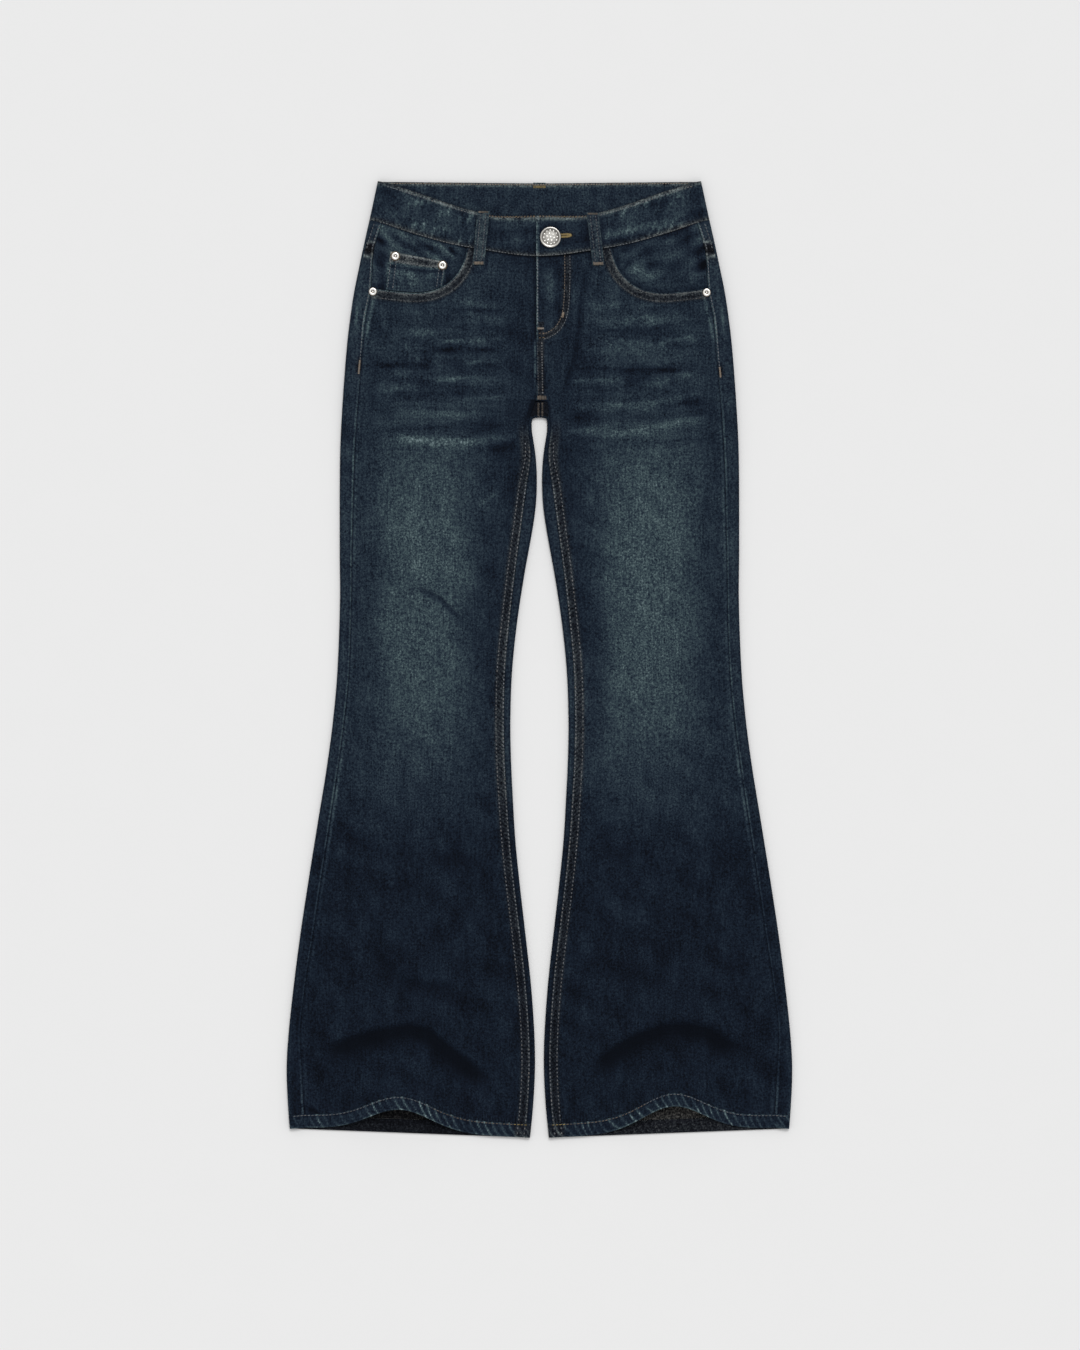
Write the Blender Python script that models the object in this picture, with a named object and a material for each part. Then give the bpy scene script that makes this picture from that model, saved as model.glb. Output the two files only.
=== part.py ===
"""Flared five-pocket denim jeans, laid flat on their back with the fly uppermost.

World frame in metres: +X across the garment, +Y towards the waist, +Z up from the surface that it lies on.
The origin is on that surface, under the middle of the garment.

Sizes below are in millimetres. A place on the garment is (x, drop): x is measured from the middle,
outwards on the half that is being made, and drop is how far below the back waist edge it lies.
Each leg is a flattened tube. The back panel is its underside, and it laps round both folds onto the top,
where it meets the front panel at the side seam and at the inseam.
"""

import math
from collections import namedtuple

import bmesh
import bpy
from mathutils import Vector

MM = 0.001
LENGTH = 1080.0
LEFT, RIGHT = -1, 1

# Cloth
DENIM = 1.2
BAND_WALL = 2.2
HEM_WALL = 2.0
PATCH_WALL = 1.0
GAP = 0.3
HALF_GAP = GAP / 2

# How high the upper layer stands above the surface, and what lies under the seat
LEG_HEIGHT = 4.8
HIP_HEIGHT = 6.4
BAND_HEIGHT = 7.2
LEAST_HEIGHT = 3.6
FOLD_SWELL = 0.8
FOLD_SWELL_REACH = 16.0
FOLD_RADIUS = 2.8
BAND_FOLD_RADIUS = 3.4
HIP_END = (240.0, 330.0)
SEAT_LIFT = 1.3
SEAT_SIDE_RAMP = (5.0, 25.0)
SEAT_END_CENTRE, SEAT_END_SIDE, SEAT_END_RAMP = 222.0, 256.0, 32.0

# Waistband
BAND_FOLD_TOP = (182.4, 0.5)
BAND_FOLD_BOTTOM = (191.8, 44.2)
BACK_BAND_TOP, BACK_BAND_BOTTOM = 3.0, 46.3
BAND_SPREAD = BAND_FOLD_BOTTOM[0] / BAND_FOLD_TOP[0]
OVERLAP_LIFT = 2.6
OVERLAP_SLOPE = (34.0, 74.0)
UNDERLAP = 28.0
CENTRE_FRONT = -3.4
BAND_STRAIGHT_FROM = 13.6
BAND_RIGHT_X = (CENTRE_FRONT, 8, 20, 32, 42, 52, 63, 76, 92, 110, 130, 150)
BAND_LEFT_X = (150, 130, 110, 92, 76, 60, 40, 20, -CENTRE_FRONT - 0.6, -UNDERLAP)
BAND_BACK_SHARES = (0.86, 0.6, 0.3, 0.0)

# Yoke, fly and hem
YOKE_SIDE_DROP, YOKE_CENTRE_DROP = 78.0, 108.0
BACK_TOP_DROP = 100.0
FLY_WIDTH = 34.0
FLY_BOTTOM = (165.0, 180.0)
FLY_LIFT = 0.7
FELL_WIDTH = 9.5
FELL_LIFT = 0.6
HEM_DEPTH = 15.5
HEM_PROUD = 0.5
HEM_SLANT = 10.0
HEM_SLANT_START = 900.0

Edge = namedtuple("Edge", "drop fold lap")
SIDE_EDGE = [
    Edge(*row)
    for row in (
        (24.0, 187.5, 14.6),
        (42.3, 191.4, 14.6),
        (60.0, 195.4, 13.0),
        (78.0, 199.4, 12.2),
        (100.0, 204.0, 15.5),
        (125.0, 209.1, 18.6),
        (155.0, 213.6, 17.1),
        (190.0, 217.6, 18.2),
        (256.0, 222.5, 17.4),
        (311.0, 225.0, 16.4),
        (419.0, 225.4, 13.9),
        (473.0, 225.1, 12.9),
        (554.0, 228.1, 13.2),
        (609.0, 233.0, 12.7),
        (663.0, 240.2, 12.6),
        (717.0, 249.0, 13.3),
        (798.0, 262.0, 14.0),
        (852.0, 270.1, 14.3),
        (907.0, 277.2, 12.9),
        (961.0, 283.0, 12.9),
        (1000.0, 285.3, 17.0),
        (1042.0, 283.9, 17.7),
        (1080.0, 281.0, 17.2),
    )
]
INNER_EDGE = [
    Edge(*row)
    for row in (
        (283.0, 8.5, 3.8),
        (311.0, 4.3, 5.6),
        (338.0, 2.9, 10.4),
        (365.0, 4.0, 13.0),
        (392.0, 7.6, 13.0),
        (446.0, 17.3, 10.4),
        (500.0, 25.4, 8.4),
        (554.0, 30.9, 7.6),
        (609.0, 32.8, 7.0),
        (650.0, 32.2, 6.9),
        (690.0, 30.4, 6.5),
        (744.0, 27.2, 6.0),
        (798.0, 21.8, 5.8),
        (852.0, 15.6, 5.5),
        (907.0, 9.6, 5.5),
        (961.0, 5.8, 5.5),
        (1000.0, 5.0, 5.5),
        (1042.0, 7.0, 5.5),
        (1080.0, 10.6, 5.5),
    )
]

# The fold round the top of the gap between the legs, and where the back's edge meets the front on top
CrotchFold = namedtuple("CrotchFold", "x drop inward_x inward_drop side_drop")
CROTCH_FOLD = [
    CrotchFold(*row)
    for row in (
        (8.8, 273.5, 0.98, -0.20, 275.0),
        (7.8, 268.8, 0.71, -0.71, 267.0),
        (4.4, 267.5, 0.0, -1.0, 259.0),
        (0.0, 267.4, 0.0, -1.0, 251.0),
    )
]
CROTCH_SEAM = {
    LEFT: ((12.5, 272.7), (10.6, 266.2), (4.7, 249.5), (0.0, 249.5)),
    RIGHT: ((12.5, 272.7), (11.2, 266.2), (8.7, 249.5), (0.0, 249.5)),
}
CROTCH_TOP_DROP = 248.0

# Upper edges of the front, as (x, drop)
BAND_TOP_EDGE = (
    (0.0, 40.0),
    (50.0, 40.2),
    (66.0, 36.4),
    (84.0, 31.6),
    (104.0, 25.4),
    (124.0, 18.2),
    (150.0, 9.6),
    (168.7, 3.6),
)
BAND_BOTTOM_EDGE = (
    (0.0, 85.4),
    (24.0, 83.8),
    (56.0, 79.0),
    (96.0, 72.2),
    (124.0, 65.0),
    (151.0, 56.8),
    (177.3, 47.6),
)
POCKET_EDGE = (
    (81.5, 76.0),
    (84.0, 87.0),
    (88.5, 98.0),
    (95.0, 107.4),
    (105.0, 116.6),
    (119.0, 123.4),
    (136.5, 126.4),
    (157.0, 125.4),
    (190.0, 121.4),
)

# Creases are soft troughs along a line, and billows are where the cloth stands up, at signed x
Crease = namedtuple("Crease", "name depth width line")
LEFT_ARCH = ((-250, 985), (-207, 970), (-177, 962), (-146, 956), (-125, 963), (-85, 995), (-51, 1021))
RIGHT_ARCH = ((55, 1004), (87, 982), (109, 969), (139, 957), (165, 955), (191, 960), (232, 986))
LEFT_SHIN = ((-189, 866), (-170, 887), (-155, 902), (-129, 908), (-88, 911))
LEFT_KNEE = ((-152, 456), (-126, 464), (-108, 476), (-88, 500))
BESIDE_FLY = ((51, 92), (50, 134), (48, 168), (42, 213), (34, 247))
CREASES = [
    Crease("left hem arch", 3.6, 9.0, LEFT_ARCH),
    Crease("right hem arch", 3.6, 9.0, RIGHT_ARCH),
    Crease("left shin", 2.6, 9.0, LEFT_SHIN),
    Crease("left knee", 1.8, 6.0, LEFT_KNEE),
    Crease("beside the fly", 1.6, 6.0, BESIDE_FLY),
    Crease("left below the knee", 1.2, 12.0, ((-124, 762), (-56, 769))),
    Crease("right below the knee", 1.2, 12.0, ((68, 755), (114, 762))),
]
Billow = namedtuple("Billow", "x drop half_width half_length height")
BILLOWS = [
    Billow(*row)
    for row in (
        (-150, 900, 95, 75, 1.6),
        (150, 900, 95, 75, 1.6),
        (-120, 430, 80, 90, 1.0),
        (130, 520, 80, 120, 1.0),
        (-135, 680, 80, 90, 1.2),
        (135, 690, 80, 90, 1.2),
        (-110, 190, 80, 60, 0.6),
        (120, 200, 80, 60, 0.6),
    )
]
HemHump = namedtuple("HemHump", "x half_width height rise rise_x rise_width")
HEM_HUMPS = {
    LEFT: HemHump(-161.0, 80.0, 15.0, 26.0, -157.4, 49.5),
    RIGHT: HemHump(145.0, 80.0, 16.5, 30.1, 150.7, 49.0),
}
HUMP_START, HUMP_FULL = 966.0, 1066.0
RISE_START = 946.0

# Rows of the panels, as drops, from the crotch down to the hem
LEG_ROWS = (283, 311, 338, 365, 405, 450, 500, 550, 600, 650, 700, 745, 785, 820, 850, 875)
LEG_ROWS += (898, 918, 936, 952, 966, 980, 996, 1014, 1034, 1052, LENGTH - HEM_DEPTH - GAP)
SEAT_ROWS = (225, 200, 175)
HIP_ROWS = (157, 139, 122)
FRONT_TOP_X = (FELL_WIDTH, FELL_WIDTH + 3, 26, 46, 64, 81.5, 83.8, 87.5, 92.5, 99.5, 109, 121, 138, 160)
FELL_SHARES = (0.0, 0.042, 0.056)
PANEL_SHARES = tuple(FELL_SHARES[-1] + (1 - FELL_SHARES[-1]) * step / 13 for step in range(1, 14))
FRONT_SHARES = FELL_SHARES + PANEL_SHARES
ARC_ANGLES = (90, 45, 0, -45, -90)
BOTTOM_SHARES = (0.13, 0.45, 0.75)

# Pockets, loops and metalwork
FACING_X = 72.0
FACING_END_DROP = 95.2
FACING_UNDERLAP, FACING_DEEP_UNDERLAP = 9.0, 23.0
FACING_SINK = 1.6
FACING_SWELL = 1.0
FACING_SWELL_RAMP = (2.0, 12.0)
FACING_SHARES = (0.0, 0.05, 0.1, 0.16, 0.24, 0.34, 0.48, 0.64, 0.82, 1.0)
COIN_TOP = ((167.9, 80.2), (105.4, 91.9))
COIN_BOTTOM_X = (173.3, 109.6)
BACK_POCKET = ((57, 120), (168, 112), (165, 226), (114, 246), (62, 230))
LOOP_WIDTH = 13.4
LOOP_WALL = 1.3
LOOP_ARCH = 0.9
LOOP_TACK = 0.12
LOOP_CLEAR = 0.45
Loop = namedtuple("Loop", "name top bottom")
FRONT_LOOPS = (
    Loop("belt_loop_front_left", (-63.1, 34.5), (-68.9, 95.0)),
    Loop("belt_loop_front_right", (59.8, 36.5), (66.6, 95.6)),
)
BACK_LOOP_X = {"belt_loop_back": 0.0, "belt_loop_side_left": -128.0, "belt_loop_side_right": 128.0}
BACK_LOOP_DROPS = (2.0, 56.0)
POCKET_RIVETS = {"rivet_pocket_left": (-188.0, 125.3), "rivet_pocket_right": (188.6, 126.3)}
COIN_RIVETS = {"rivet_coin_outer": (-162.6, 85.3), "rivet_coin_inner": (-109.4, 95.6)}
BUTTON_CENTRE = (12.4, 64.2)

# Turned profiles as (radius, height), from the middle of the foot round the rim to the middle of the face
RIVET_PROFILE = ((0, 0), (4.4, 0), (4.7, 0.5), (3.8, 1.15), (1.9, 1.0), (1.2, 1.45), (0, 1.5))
BUTTON_PROFILE = (
    (0, 0),
    (4.5, 0),
    (5.0, 0.9),
    (11.2, 1.0),
    (12.0, 1.7),
    (11.5, 2.6),
    (10.6, 2.9),
    (9.8, 2.7),
    (6.5, 3.2),
    (0, 3.5),
)

DENIM_DARK = (0.016, 0.024, 0.038)
DENIM_MID = (0.03, 0.046, 0.062)
STEEL = (0.62, 0.61, 0.58)


def smooth_step(low, high, at):
    """0 below low, 1 above high, and an even S between."""
    t = min(max((at - low) / (high - low), 0.0), 1.0)
    return t * t * (3 - 2 * t)


def bell(at):
    """1 in the middle, 0 at one and beyond."""
    return 0.5 + 0.5 * math.cos(math.pi * at) if abs(at) < 1 else 0.0


def between(a, b, share):
    return a + (b - a) * share


def point_between(a, b, share):
    return (between(a[0], b[0], share), between(a[1], b[1], share))


def slope_at(table, row, column):
    """How fast a column changes at one row, from the rows on either side of it."""
    before, after = table[max(row - 1, 0)], table[min(row + 1, len(table) - 1)]
    return (after[column] - before[column]) / (after[0] - before[0])


def smooth(table, at, column=1):
    """A column's value on a smooth curve through the rows of a table, whose first column is the station."""
    if at <= table[0][0]:
        return table[0][column]
    if at >= table[-1][0]:
        return table[-1][column]
    row = max(i for i in range(len(table) - 1) if table[i][0] <= at)
    span = table[row + 1][0] - table[row][0]
    t = (at - table[row][0]) / span
    start, end = table[row][column], table[row + 1][column]
    leave, arrive = slope_at(table, row, column) * span, slope_at(table, row + 1, column) * span
    bend = leave * (t - 2 * t**2 + t**3) + arrive * (t**3 - t**2)
    return start * (1 - 3 * t**2 + 2 * t**3) + end * (3 * t**2 - 2 * t**3) + bend


def to_segment(x, drop, start, end):
    """Distance from a place to a straight run."""
    along_x, along_drop = end[0] - start[0], end[1] - start[1]
    t = ((x - start[0]) * along_x + (drop - start[1]) * along_drop) / (along_x**2 + along_drop**2)
    t = min(max(t, 0.0), 1.0)
    return math.hypot(x - start[0] - t * along_x, drop - start[1] - t * along_drop)


def to_line(x, drop, line):
    return min(to_segment(x, drop, a, b) for a, b in zip(line, line[1:]))


def hem_slant(drop):
    """How much higher the hem is at the side than at the inseam."""
    return HEM_SLANT * smooth_step(HEM_SLANT_START, LENGTH, drop)


def hem_rise(x, drop, side):
    """How far the lifted front hem is drawn up towards the waist."""
    hump = HEM_HUMPS[side]
    drawn_up = hump.rise * math.exp(-(((x - hump.rise_x) / hump.rise_width) ** 2))
    return drawn_up * smooth_step(RISE_START, HUMP_FULL, drop)


def top_height(x, drop, side):
    """Height of the upper layer's outer face at a signed x."""
    height = between(HIP_HEIGHT, LEG_HEIGHT, smooth_step(*HIP_END, drop))
    to_side = smooth(SIDE_EDGE, drop) - abs(x)
    to_inner = abs(x) - smooth(INNER_EDGE, drop) if drop > INNER_EDGE[0].drop else FOLD_SWELL_REACH
    height += FOLD_SWELL * bell(min(to_side, to_inner) / FOLD_SWELL_REACH)
    for billow in BILLOWS:
        across = bell((x - billow.x) / billow.half_width)
        height += billow.height * across * bell((drop - billow.drop) / billow.half_length)
    for crease in CREASES:
        height -= crease.depth * math.exp(-((to_line(x, drop, crease.line) / crease.width) ** 2))
    hump = HEM_HUMPS[side]
    height = max(height, LEAST_HEIGHT)
    across = bell((x - hump.x) / hump.half_width)
    return height + hump.height * across * smooth_step(HUMP_START, HUMP_FULL, drop)


def underside(x, drop):
    """Height of the lower layer's outer face: on the surface, but for the seat on its pockets and loops."""
    side = smooth(SIDE_EDGE, drop)
    if drop < BAND_FOLD_BOTTOM[1]:
        side = between(BAND_FOLD_TOP[0], BAND_FOLD_BOTTOM[0], drop / BAND_FOLD_BOTTOM[1])
    end = between(SEAT_END_CENTRE, SEAT_END_SIDE, smooth_step(5, 45, x))
    seat = smooth_step(*SEAT_SIDE_RAMP, side - x) * (1 - smooth_step(end, end + SEAT_END_RAMP, drop))
    return SEAT_LIFT * seat


def fold_foot(edge, drop, inward):
    """The place on a fold at a drop, and the way in from it. inward is the sign of that way's x."""
    lean = (smooth(edge, drop + 1) - smooth(edge, drop - 1)) / 2
    size = math.hypot(1, lean)
    return (smooth(edge, drop), drop), (inward / size, -inward * lean / size)


def step_in(foot, inward, reach):
    return foot[0] + inward[0] * reach, foot[1] + inward[1] * reach


def round_fold(foot, inward, angle, depth, height, wall, radius):
    """A place on the rounded fold. angle runs from 90 on top to -90 underneath."""
    turn, inset = math.radians(angle), depth * wall
    x, drop = step_in(foot, inward, radius - (radius - inset) * math.cos(turn))
    return x, drop, height / 2 + (height / 2 - inset) * math.sin(turn)


def world(place, side=RIGHT):
    """(x, drop, height) in millimetres as a point of the scene."""
    return Vector((side * place[0], LENGTH / 2 - place[1], place[2])) * MM


def cloth(name, columns, rows, place, colour, left_out=None, ring=False):
    """A closed slab of cloth, bent to shape.

    place(column, row, depth) gives each point, with depth 0 on the outer face and 1 on the inner one.
    left_out(column, row) names the faces that the cut doesn't have, and ring joins the two ends.
    """
    slab = bmesh.new()
    bmesh.ops.create_grid(slab, x_segments=columns, y_segments=rows, size=1)

    def station(point):
        return (point.x + 1) / 2 * columns, (point.y + 1) / 2 * rows

    if left_out:
        gone = [f for f in slab.faces if left_out(*station(f.calc_center_median()))]
        bmesh.ops.delete(slab, geom=gone, context="FACES")
    bmesh.ops.solidify(slab, geom=slab.faces[:], thickness=1.0)
    if ring:
        ends = [f for f in slab.faces if abs(f.normal.x) > 0.9]
        bmesh.ops.delete(slab, geom=ends, context="FACES_ONLY")
    for vertex in slab.verts:
        column, row = (round(value) for value in station(vertex.co))
        vertex.co = place(column, row, round(-vertex.co.z))
    bmesh.ops.remove_doubles(slab, verts=slab.verts, dist=0.02 * MM)
    if slab.calc_volume(signed=True) < 0:
        bmesh.ops.reverse_faces(slab, faces=slab.faces[:])
    return finished(name, slab, colour)


def finished(name, shape, colour, metallic=0.0, roughness=0.85):
    """The object for a shape, with its own material."""
    mesh = bpy.data.meshes.new(name)
    shape.to_mesh(mesh)
    shape.free()
    mesh.shade_smooth()
    mesh.set_sharp_from_angle(angle=math.radians(40))
    part = bpy.data.objects.new(name, mesh)
    garment.objects.link(part)
    paint(part, colour, metallic, roughness)
    return part


def paint(part, colour, metallic=0.0, roughness=0.85):
    material = bpy.data.materials.new(part.name)
    material.use_nodes = True
    finish = material.node_tree.nodes["Principled BSDF"]
    finish.inputs["Base Color"].default_value = (*colour, 1)
    finish.inputs["Metallic"].default_value = metallic
    finish.inputs["Roughness"].default_value = roughness
    part.data.materials.append(material)


# The back of each leg


def back_rows(side):
    """Rows of the back from the hem up: the side fold's drop, then the other end's foot, way in, seam."""
    rows = []
    for drop in reversed(LEG_ROWS):
        foot, inward = fold_foot(INNER_EDGE, drop, 1)
        seam = step_in(foot, inward, smooth(INNER_EDGE, drop, 2) - HALF_GAP)
        rows.append((drop - hem_slant(drop), foot, inward, seam))
    for fold, (x, drop) in zip(CROTCH_FOLD, CROTCH_SEAM[side]):
        rows.append((fold.side_drop, fold[0:2], fold[2:4], (max(x - HALF_GAP, HALF_GAP), drop + GAP)))
    upper = SEAT_ROWS + HIP_ROWS + (BACK_TOP_DROP, YOKE_SIDE_DROP + HALF_GAP)
    yoke_drop = YOKE_CENTRE_DROP + HALF_GAP
    for count, drop in enumerate(upper, start=1):
        seam_drop = between(CROTCH_FOLD[-1].drop - FOLD_RADIUS, yoke_drop, count / len(upper))
        rows.append((drop, (HALF_GAP, seam_drop), None, None))
    return rows


def on_top(x, drop, side, depth):
    """A place on the upper layer."""
    return x, drop, top_height(side * x, drop, side) - depth * DENIM


def fold_height(foot, inward, side, radius=FOLD_RADIUS):
    x, drop = step_in(foot, inward, radius)
    return top_height(side * x, drop, side)


def side_wrap(column, drop, side, depth):
    """The columns that lap over the side fold: the seam edge, then the arc."""
    foot, inward = fold_foot(SIDE_EDGE, drop, -1)
    if column == 0:
        return on_top(*step_in(foot, inward, smooth(SIDE_EDGE, drop, 2) - HALF_GAP), side, depth)
    height = fold_height(foot, inward, side)
    return round_fold(foot, inward, ARC_ANGLES[column - 1], depth, height, DENIM, FOLD_RADIUS)


def bottom_place(start, end, share, depth):
    """A place on the lower layer, between two others."""
    x, drop = point_between(start, end, share)
    return x, drop, underside(x, drop) + depth * DENIM


def back_panel(side, name):
    rows = back_rows(side)
    arc = len(ARC_ANGLES)
    first_inner = arc + len(BOTTOM_SHARES) + 1
    crotch_row = len(LEG_ROWS) + len(CROTCH_FOLD) - 1

    def place(column, row, depth):
        side_drop, foot, inward, seam = rows[row]
        if column <= arc:
            return world(side_wrap(column, side_drop, side, depth), side)
        side_start = step_in(*fold_foot(SIDE_EDGE, side_drop, -1), FOLD_RADIUS)
        end = step_in(foot, inward, FOLD_RADIUS) if inward else foot
        end = (max(end[0], HALF_GAP), end[1])
        if column < first_inner or inward is None:
            share = BOTTOM_SHARES[column - arc - 1] if column < first_inner else 1.0
            return world(bottom_place(side_start, end, share, depth), side)
        if column == first_inner + arc:
            return world(on_top(*seam, side, depth), side)
        angle = ARC_ANGLES[::-1][column - first_inner]
        height = fold_height(foot, inward, side)
        x, drop, z = round_fold(foot, inward, angle, depth, height, DENIM, FOLD_RADIUS)
        return world((max(x, HALF_GAP), drop, z), side)

    def left_out(column, row):
        return column > first_inner and row > crotch_row

    return cloth(name, first_inner + arc, len(rows) - 1, place, DENIM_DARK, left_out)


def yoke(side, name):
    arc = len(ARC_ANGLES)
    rows = 3
    columns = arc + len(BOTTOM_SHARES) + 1

    def place(column, row, depth):
        share = row / rows
        side_drop = between(YOKE_SIDE_DROP - HALF_GAP, BAND_FOLD_BOTTOM[1] + GAP, share)
        if column <= arc:
            return world(side_wrap(column, side_drop, side, depth), side)
        start = step_in(*fold_foot(SIDE_EDGE, side_drop, -1), FOLD_RADIUS)
        end = (HALF_GAP, between(YOKE_CENTRE_DROP - HALF_GAP, BACK_BAND_BOTTOM + GAP, share))
        along = BOTTOM_SHARES[column - arc - 1] if column < columns else 1.0
        return world(bottom_place(start, end, along, depth), side)

    return cloth(name, columns, rows, place, DENIM_DARK)


# The front of each leg


def front_seam_points(side):
    """(inner, outer) seam points of each straight row of the front, from the hem up to the hip."""
    centre = side * CENTRE_FRONT + HALF_GAP
    pairs = []
    for drop in reversed(LEG_ROWS):
        foot, inward = fold_foot(INNER_EDGE, drop, 1)
        inner = step_in(foot, inward, smooth(INNER_EDGE, drop, 2) + HALF_GAP)
        pairs.append((inner, side_seam(drop - hem_slant(drop))))
    for fold, (x, drop) in zip(CROTCH_FOLD[:-1], CROTCH_SEAM[side]):
        pairs.append(((x + HALF_GAP, drop), side_seam(fold.side_drop)))
    pairs.append(((centre, CROTCH_TOP_DROP), side_seam(CROTCH_FOLD[-1].side_drop)))
    for drop in SEAT_ROWS:
        pairs.append(((centre, drop), side_seam(drop)))
    return pairs


def side_seam(drop, past=HALF_GAP):
    """A place beside the side seam, at a fold drop."""
    foot, inward = fold_foot(SIDE_EDGE, drop, -1)
    return step_in(foot, inward, smooth(SIDE_EDGE, drop, 2) + past)


def side_seam_x(drop):
    """x of the side seam where it crosses a drop."""
    return side_seam(2 * drop - side_seam(drop)[1])[0]


def front_top_edge(side):
    """The front's upper edge: along the waistband, then down round the pocket opening to the side seam."""
    centre = side * CENTRE_FRONT + HALF_GAP
    points = [(centre, smooth(BAND_BOTTOM_EDGE, abs(centre)) + GAP)]
    for x in FRONT_TOP_X:
        edge = BAND_BOTTOM_EDGE if x < POCKET_EDGE[0][0] else POCKET_EDGE
        points.append((x, smooth(edge, x) + GAP))
    return points + [side_seam(HIP_ROWS[-1])]


def fell_lift(x, drop, side):
    """The double-turned seams along the inseam and the lower centre front stand a little proud."""
    if drop > CROTCH_TOP_DROP:
        start = smooth(INNER_EDGE, drop) + smooth(INNER_EDGE, drop, 2)
        return FELL_LIFT * (1 - smooth_step(FELL_WIDTH, FELL_WIDTH + 3, x - start))
    if side == LEFT:
        return 0.0
    fly = (1 - smooth_step(FLY_WIDTH - 3, FLY_WIDTH + 3, x)) * (1 - smooth_step(*FLY_BOTTOM, drop))
    return max(FLY_LIFT * fly, FELL_LIFT * (1 - smooth_step(FELL_WIDTH - 3, FELL_WIDTH, x)))


def front_place(x, drop, side, depth):
    """A point of the front panel, drawn up near the hem where the cloth lifts."""
    signed = side * x
    height = top_height(signed, drop, side) + fell_lift(x, drop, side) * (1 - depth)
    return world((x, drop - hem_rise(signed, drop, side), height - depth * DENIM), side)


def front_panel(side, name):
    pairs = front_seam_points(side)
    top = front_top_edge(side)
    straight = len(pairs) - 1
    hip_rows = len(HIP_ROWS)

    def place(column, row, depth):
        share = FRONT_SHARES[column]
        if row <= straight:
            return front_place(*point_between(*pairs[row], share), side, depth)
        low = point_between(*pairs[straight], share)
        if column == len(FRONT_SHARES) - 1:
            return front_place(*side_seam(HIP_ROWS[row - straight - 1]), side, depth)
        return front_place(*point_between(low, top[column], (row - straight) / hip_rows), side, depth)

    return cloth(name, len(FRONT_SHARES) - 1, straight + hip_rows, place, DENIM_MID)


# Pocket facings and the coin pocket


def pocket_depth(x):
    """Drop of the pocket facing's hidden lower edge."""
    start_x, start_drop = POCKET_EDGE[0]
    if x < start_x:
        share = (x - FACING_X) / (start_x - FACING_X)
        return between(FACING_END_DROP, start_drop + FACING_DEEP_UNDERLAP, share)
    narrow = smooth_step(start_x, 110, x)
    return smooth(POCKET_EDGE, x) + between(FACING_DEEP_UNDERLAP, FACING_UNDERLAP, narrow)


def facing_height(x, drop, side):
    """The facing lies under the front panel's edge and swells a little in the pocket opening."""
    inside = to_line(x, drop, POCKET_EDGE)
    covered = x < POCKET_EDGE[0][0] or drop > smooth(POCKET_EDGE, x)
    swell = 0.0 if covered else FACING_SWELL * smooth_step(*FACING_SWELL_RAMP, inside)
    return top_height(side * x, drop, side) - FACING_SINK + swell


def facing(side, name):
    rows = 6

    def place(column, row, depth):
        across, down = FACING_SHARES[column], 1 - row / rows
        x = between(FACING_X, BAND_BOTTOM_EDGE[-1][0], across)
        drop = between(smooth(BAND_BOTTOM_EDGE, x) + GAP, pocket_depth(x), down)
        x = between(FACING_X, side_seam_x(drop) - GAP, across)
        drop = between(smooth(BAND_BOTTOM_EDGE, x) + GAP, pocket_depth(x), down)
        return world((x, drop, facing_height(x, drop, side) - depth * DENIM), side)

    return cloth(name, len(FACING_SHARES) - 1, rows, place, DENIM_MID)


def coin_height(x, drop):
    return facing_height(x, drop, LEFT) + 1.5 * GAP + PATCH_WALL


def coin_pocket():
    """The small pocket on the facing. Its lower end follows the edge of the pocket opening."""
    columns, rows = 8, 4

    def place(column, row, depth):
        across, down = column / columns, 1 - row / rows
        low_x = between(*COIN_BOTTOM_X, across)
        low = (low_x, smooth(POCKET_EDGE, low_x) - 2 * GAP)
        x, drop = point_between(point_between(*COIN_TOP, across), low, down)
        return world((x, drop, coin_height(x, drop) - depth * PATCH_WALL), LEFT)

    return cloth("coin_pocket", columns, rows, place, DENIM_MID)


def back_pocket(side, name):
    """A plain patch, flat on the surface that the seat lies on."""
    outline = bpy.data.curves.new(name, "CURVE")
    outline.dimensions = "2D"
    outline.fill_mode = "BOTH"
    outline.extrude = PATCH_WALL / 2 * MM
    spline = outline.splines.new("POLY")
    spline.points.add(len(BACK_POCKET) - 1)
    for point, (x, drop) in zip(spline.points, BACK_POCKET):
        point.co = (*world((x, drop, 0), side), 1)
    spline.use_cyclic_u = True
    patch = bpy.data.objects.new(name, outline)
    patch.location.z = PATCH_WALL / 2 * MM
    garment.objects.link(patch)
    paint(patch, DENIM_DARK)


# Waistband and belt loops


def band_height(x, over):
    """Height of the front waistband at a signed x. over is for the end that laps on top at the button."""
    return BAND_HEIGHT + (OVERLAP_LIFT * (1 - smooth_step(*OVERLAP_SLOPE, x)) if over else 0.0)


def band_front(x, share, side, depth):
    """A place on the front waistband, share 0 on its upper edge and 1 on its lower."""
    upper = (x, smooth(BAND_TOP_EDGE, abs(x)))
    lower = (x * BAND_SPREAD, smooth(BAND_BOTTOM_EDGE, abs(x * BAND_SPREAD)))
    place = point_between(upper, lower, share)
    return (*place, band_height(x, side == RIGHT) - depth * BAND_WALL)


def band_fold(angle, share, depth):
    """A place on the waistband's fold, or just past it on the front where the angle is None."""
    foot = point_between(BAND_FOLD_TOP, BAND_FOLD_BOTTOM, share)
    lean = Vector(BAND_FOLD_BOTTOM) - Vector(BAND_FOLD_TOP)
    inward = Vector((-lean.y, lean.x)).normalized()
    if angle is None:
        return (*step_in(foot, inward, BAND_STRAIGHT_FROM), BAND_HEIGHT - depth * BAND_WALL)
    return round_fold(foot, inward, angle, depth, BAND_HEIGHT, BAND_WALL, BAND_FOLD_RADIUS)


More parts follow.
